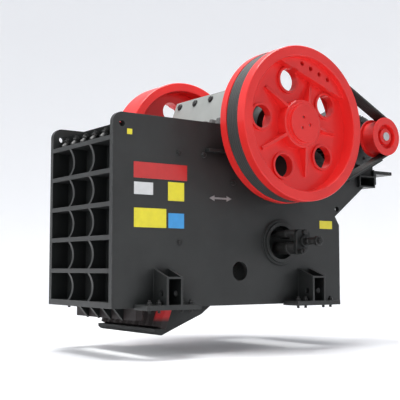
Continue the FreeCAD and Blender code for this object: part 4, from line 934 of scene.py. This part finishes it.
# %% Motor cowl, feet and terminal box
GRILLE_RINGS = 6
GRILLE_SPOKES = 8
FOOT_SPREAD = 0.255
FOOT_HALF_WIDTH = 0.055
FOOT_LENGTH = 0.15
FOOT_THICKNESS = 0.034
FIRST_FOOT = 0.17
BOX_HALF_WIDTH = 0.12
BOX_START, BOX_STOP = 0.34, 0.58
LID_LIP = 0.008
bm = bmesh.new()
cowl_start = body_stop + 0.018
spin(bm, [(cowl_start, 0.0), (cowl_start, core * 0.9), (cowl_start, MOTOR_RADIUS - 0.022),
          (cowl_start + 0.01, MOTOR_RADIUS - 0.018), (motor_length - 0.05, MOTOR_RADIUS - 0.024),
          (motor_length - 0.02, MOTOR_RADIUS - 0.036), (motor_length - 0.008, MOTOR_RADIUS - 0.062),
          (motor_length - 0.008, 0.0)], turned, 64)
for ring in range(GRILLE_RINGS):
    inner = 0.045 + 0.032 * ring
    spin(bm, [(motor_length - 0.012, inner), (motor_length - 0.001, inner + 0.004),
              (motor_length - 0.001, inner + 0.012), (motor_length - 0.012, inner + 0.016)], turned, 48)
for arm in range(GRILLE_SPOKES):
    spoke = lean @ Matrix.Rotation(2 * math.pi * arm / GRILLE_SPOKES, 4, "Y")
    block(bm, (0.03, motor_length - 0.012, -0.005), (0.235, motor_length - 0.002, 0.005), spoke)
foot_starts = (FIRST_FOOT, body_stop - 0.20)
for side in (-1, 1):
    for start in foot_starts:
        middle = side * FOOT_SPREAD
        block(bm, (middle - FOOT_HALF_WIDTH, start, -MOTOR_SHAFT_HEIGHT),
              (middle + FOOT_HALF_WIDTH, start + FOOT_LENGTH, -MOTOR_SHAFT_HEIGHT + FOOT_THICKNESS), lean)
        low, high = sorted((side * 0.14, side * 0.29))
        for web in (0.015, 0.115):
            block(bm, (low, start + web, -MOTOR_SHAFT_HEIGHT + 0.03), (high, start + web + 0.02, -0.12), lean)
block(bm, (-BOX_HALF_WIDTH, BOX_START, core - 0.02), (BOX_HALF_WIDTH, BOX_STOP, MOTOR_RADIUS + 0.085), lean)
block(bm, (-BOX_HALF_WIDTH - LID_LIP, BOX_START - LID_LIP, MOTOR_RADIUS + 0.06),
      (BOX_HALF_WIDTH + LID_LIP, BOX_STOP + LID_LIP, MOTOR_RADIUS + 0.078), lean)
piece("motor_cowl_and_feet", bm, "frame", deep_paint, bevel=0.004)

# %% [markdown]
# ## The motor's bolts
# Eight heads hold the end shield, two hold down each foot, and four small ones close the lid. All
# of them are blackened like the rest of the hardware.

# %% Motor bolts
SHIELD_BOLTS = 8
SHIELD_BOLT_CIRCLE = 0.205
bm = bmesh.new()
for index in range(SHIELD_BOLTS):
    angle = 2 * math.pi * (index + 0.5) / SHIELD_BOLTS
    spot = lean @ Vector((SHIELD_BOLT_CIRCLE * math.cos(angle), 0.058, SHIELD_BOLT_CIRCLE * math.sin(angle)))
    hexagon(bm, 0.014, 0.012, aim(spot, (0, -1, 0), index))
for side in (-1, 1):
    for start in foot_starts:
        for step in (0.035, 0.115):
            spot = lean @ Matrix.Translation((side * 0.275, start + step, -MOTOR_SHAFT_HEIGHT + FOOT_THICKNESS))
            hexagon(bm, 0.020, 0.016, spot)
for corner_x in (-0.105, 0.105):
    for corner_y in (0.355, 0.565):
        hexagon(bm, 0.009, 0.006, lean @ Matrix.Translation((corner_x, corner_y, MOTOR_RADIUS + 0.084)))
piece("motor_bolts", bm, "frame", black_steel)

# %% [markdown]
# ## Bearing housing bolts
# Each bearing cover is held to the side plate by a ring of hexagon heads on its flange. They are
# mostly behind the wheels, but they show from the ends and from above.

# %% Bearing housing bolts
housing_low, housing_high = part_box("near_bearing_housing")
flange_radius = (housing_high.x - housing_low.x) / 2
FLANGE_BOLTS = 12
FLANGE_THICKNESS = 0.04
bolt_circle = flange_radius - 0.033
bm = bmesh.new()
for face, outward in ((near_face, -1), (far_face, 1)):
    for index in range(FLANGE_BOLTS):
        angle = 2 * math.pi * (index + 0.5) / FLANGE_BOLTS
        spot = (wheel_axis.x + bolt_circle * math.cos(angle), face + outward * FLANGE_THICKNESS,
                wheel_axis.z + bolt_circle * math.sin(angle))
        stand = aim(spot, (0, outward, 0), index)
        washer(bm, 0.008, 0.021, 0.003, stand)
        hexagon(bm, 0.019, 0.015, stand @ Matrix.Translation((0, 0, 0.003)))
piece("housing_bolts", bm, "frame", black_steel)

# %% [markdown]
# ## Wedge adjusters
# Three rams come out through each side plate and end in one cast yoke, and a thick rod through
# the yoke draws the toggle's wedge. A yoke like this is a web stretched round its bosses, so its
# outline is the hull of four circles, and a ram or a rod is a bar with broken ends.

# %% Bars and hulls
def hull(circles, steps=72):
    """The outline a band would take round some (x, y, radius) circles."""
    outline = []
    for step in range(steps):
        angle = 2 * math.pi * step / steps
        across, up = math.cos(angle), math.sin(angle)
        x, y, radius = max(circles, key=lambda circle: circle[0] * across + circle[1] * up + circle[2])
        outline.append((x + radius * across, y + radius * up))
    return outline


def bar(bm, x, y, radius, start, stop, place, steps=40):
    """A round bar with broken ends."""
    ease = min(0.004, radius * 0.2)
    spin(bm, [(start, 0.0), (start, radius - ease), (start + ease, radius), (stop - ease, radius),
              (stop, radius - ease), (stop, 0.0)], place @ Matrix.Translation((x, y, 0)), steps)


# %% [markdown]
# ## Both adjusters
# The two sides are mirror images: one matrix puts x along the machine, y upwards and z out of the
# side plate. Each ram has two collars, and collars, nuts and a threaded tip finish the rods.

# %% Wedge adjusters
RAMS = [(0.008, -0.058, 0.066), (-0.030, 0.084, 0.037), (0.074, 0.074, 0.036)]
RAM_COLLARS = [(0.006, 0.20, 0.228), (0.004, 0.322, 0.340)]
LOBES = [(0.010, -0.048, 0.078), (-0.030, 0.078, 0.045), (0.068, 0.070, 0.046), (-0.040, -0.096, 0.036)]
LONG_ROD = (0.030, 0.005)
SHORT_ROD = (-0.040, -0.098)
UPPER_STUB = (0.036, 0.098)
YOKE_START, YOKE_STOP, TIP = 0.354, 0.399, 0.644
for node, outward in (("near_adjuster", -1), ("far_adjuster", 1)):
    low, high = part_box(node)
    base = high.y if outward < 0 else low.y
    stand = Matrix(((1, 0, 0, high.x - 0.120), (0, 0, outward, base), (0, 1, 0, high.z - 0.131), (0, 0, 0, 1)))
    rods, yoke, tips = bmesh.new(), bmesh.new(), bmesh.new()
    for x, y, radius in RAMS:
        bar(rods, x, y, radius, 0.0, YOKE_START + 0.001, stand)
        for step, start, stop in RAM_COLLARS:
            bar(rods, x, y, radius + step, start, stop, stand)
    bar(rods, *SHORT_ROD, 0.025, YOKE_STOP - 0.002, YOKE_STOP + 0.070, stand)
    bar(rods, *UPPER_STUB, 0.024, YOKE_STOP - 0.002, YOKE_STOP + 0.016, stand)
    bar(rods, *LONG_ROD, 0.035, YOKE_STOP - 0.002, 0.590, stand)
    bar(rods, *LONG_ROD, 0.040, 0.470, 0.486, stand)
    hexagon(rods, 0.054, 0.036, stand @ Matrix.Translation((*LONG_ROD, 0.584)))
    hexagon(rods, 0.032, 0.022, stand @ Matrix.Translation((*SHORT_ROD, YOKE_STOP + 0.046)))
    hexagon(rods, 0.031, 0.018, stand @ Matrix.Translation((*UPPER_STUB, YOKE_STOP + 0.002)))
    thread(tips, 0.029, 0.618, TIP, 0.005, stand @ Matrix.Translation((*LONG_ROD, 0)), 28)
    thread(tips, 0.018, YOKE_STOP + 0.066, YOKE_STOP + 0.090, 0.004,
           stand @ Matrix.Translation((*SHORT_ROD, 0)), 20)
    extrude(yoke, hull(LOBES), YOKE_STOP - YOKE_START, stand @ Matrix.Translation((0, 0, YOKE_START)))
    extrude(yoke, hull([(*LONG_ROD, 0.060)]), 0.030, stand @ Matrix.Translation((0, 0, YOKE_STOP - 0.001)))
    block(yoke, (-0.075, 0.010, YOKE_START - 0.06), (-0.058, 0.075, YOKE_START + 0.001), stand)
    block(yoke, (-0.030, 0.012, 0.10), (0.070, 0.030, YOKE_START + 0.001), stand)
    side = node.split("_")[0]
    piece(f"{side}_adjuster_rams", rods, "frame", black_steel, replaces=[node])
    piece(f"{side}_adjuster_yoke", yoke, "frame", deep_paint, bevel=0.005)
    piece(f"{side}_adjuster_tips", tips, "frame", black_steel)

# %% [markdown]
# ## Room and light
# The set is a shallow pale bowl: a floor that curves up all round, so no corner or horizon line
# shows from any side. Its far part glows a little, so the room stays pale behind the machine while
# the ground under it can fall into shadow.

# %% Pale bowl
FLAT_RADIUS = 6.0
COVE_RADIUS = 15.0
COVE_STEPS = 32
FLOOR_DROP = 0.20
GLOW_START, GLOW_FULL = 5.0, 11.0


def floor_finish():
    mix = Finish("studio_floor")
    haze = mix.noise(0.4, 2.0)
    tone = mix.blend(haze, colour(0.90, 0.905, 0.92), colour(0.93, 0.935, 0.945))
    reach = mix.node("ShaderNodeVectorMath", {"operation": "LENGTH"}, {0: mix.place}, output="Value")
    glow = mix.blend(reach.ramp(GLOW_START, GLOW_FULL), colour(0.0, 0.0, 0.0), colour(0.165, 0.167, 0.170))
    return mix.finish(Base_Color=tone, Roughness=0.75 + haze * 0.05, Emission_Color=glow, Emission_Strength=1.0)


floor_level = min(cad_low.z, stud_low.z) - FLOOR_DROP
bm = bmesh.new()
profile = [(0.0, 0.0), (0.0, FLAT_RADIUS)]
for step in range(1, COVE_STEPS + 1):
    angle = math.pi / 2 * step / COVE_STEPS
    profile.append((COVE_RADIUS * (1 - math.cos(angle)), FLAT_RADIUS + COVE_RADIUS * math.sin(angle)))
profile.append((COVE_RADIUS * 1.1, FLAT_RADIUS + COVE_RADIUS))
spin(bm, profile, Matrix.Translation((0, 0, floor_level)), 96)
floor_mesh = bpy.data.meshes.new("studio_bowl")
bm.to_mesh(floor_mesh)
bm.free()
floor = bpy.data.objects.new("studio_bowl", floor_mesh)
floor_mesh.materials.append(floor_finish())
bpy.context.scene.collection.objects.link(floor)
print("bowl floor at", round(floor_level, 3))

# %% [markdown]
# ## Lights
# A broad soft box on the front left gives the pale arrises and the sheen on the red rims. A large
# one overhead lifts the tops and lays the soft shadow, a weak one opens the drive side, and the
# pale world fills the rest.

# %% Lights
def soft_box(name, place, target, size, watts):
    """A rectangular area light turned to face a target."""
    lamp = bpy.data.lights.new(name, "AREA")
    lamp.shape = "RECTANGLE"
    lamp.size, lamp.size_y = size
    lamp.energy = watts
    holder = bpy.data.objects.new(name, lamp)
    bpy.context.scene.collection.objects.link(holder)
    holder.location = place
    holder.rotation_euler = (Vector(target) - Vector(place)).to_track_quat("-Z", "Y").to_euler()
    print(name, watts, "W")


middle = (cad_low + cad_high) / 2
soft_box("front_left_box", (-8.5, -1.5, 4.5), middle, (5.0, 4.0), 300)
soft_box("overhead_box", (-0.3, -0.3, 8.0), middle, (5.4, 5.0), 1180)
soft_box("drive_side_box", (1.0, -9.5, 4.0), middle, (5.0, 3.0), 20)

world = bpy.data.worlds.new("pale_room")
bpy.context.scene.world = world
world.use_nodes = True
backdrop = world.node_tree.nodes["Background"]
backdrop.inputs["Color"].default_value = colour(0.93, 0.95, 1.0)
backdrop.inputs["Strength"].default_value = 0.50

# %% [markdown]
# ## Camera
# The camera stands low on the drive side, ahead of the front wall, and looks slightly up. The
# heading is measured from +Y towards +X. The plain view transform keeps the red pure and the room
# white, where a filmic one would grey both.

# %% Camera
SENSOR_WIDTH = 36.0
FOCAL_LENGTH = 75.45
CAMERA_PLACE = Vector((-5.188, -7.246, 0.379))
HEADING = math.radians(35.605)
PITCH = math.radians(4.657)
eye = bpy.data.cameras.new("studio_camera")
eye.sensor_width = SENSOR_WIDTH
eye.lens = FOCAL_LENGTH
camera = bpy.data.objects.new("studio_camera", eye)
bpy.context.scene.collection.objects.link(camera)
camera.location = CAMERA_PLACE
sight = Vector((math.sin(HEADING) * math.cos(PITCH), math.cos(HEADING) * math.cos(PITCH), math.sin(PITCH)))
camera.rotation_euler = sight.to_track_quat("-Z", "Y").to_euler()
bpy.context.scene.camera = camera
bpy.context.scene.view_settings.view_transform = "Standard"
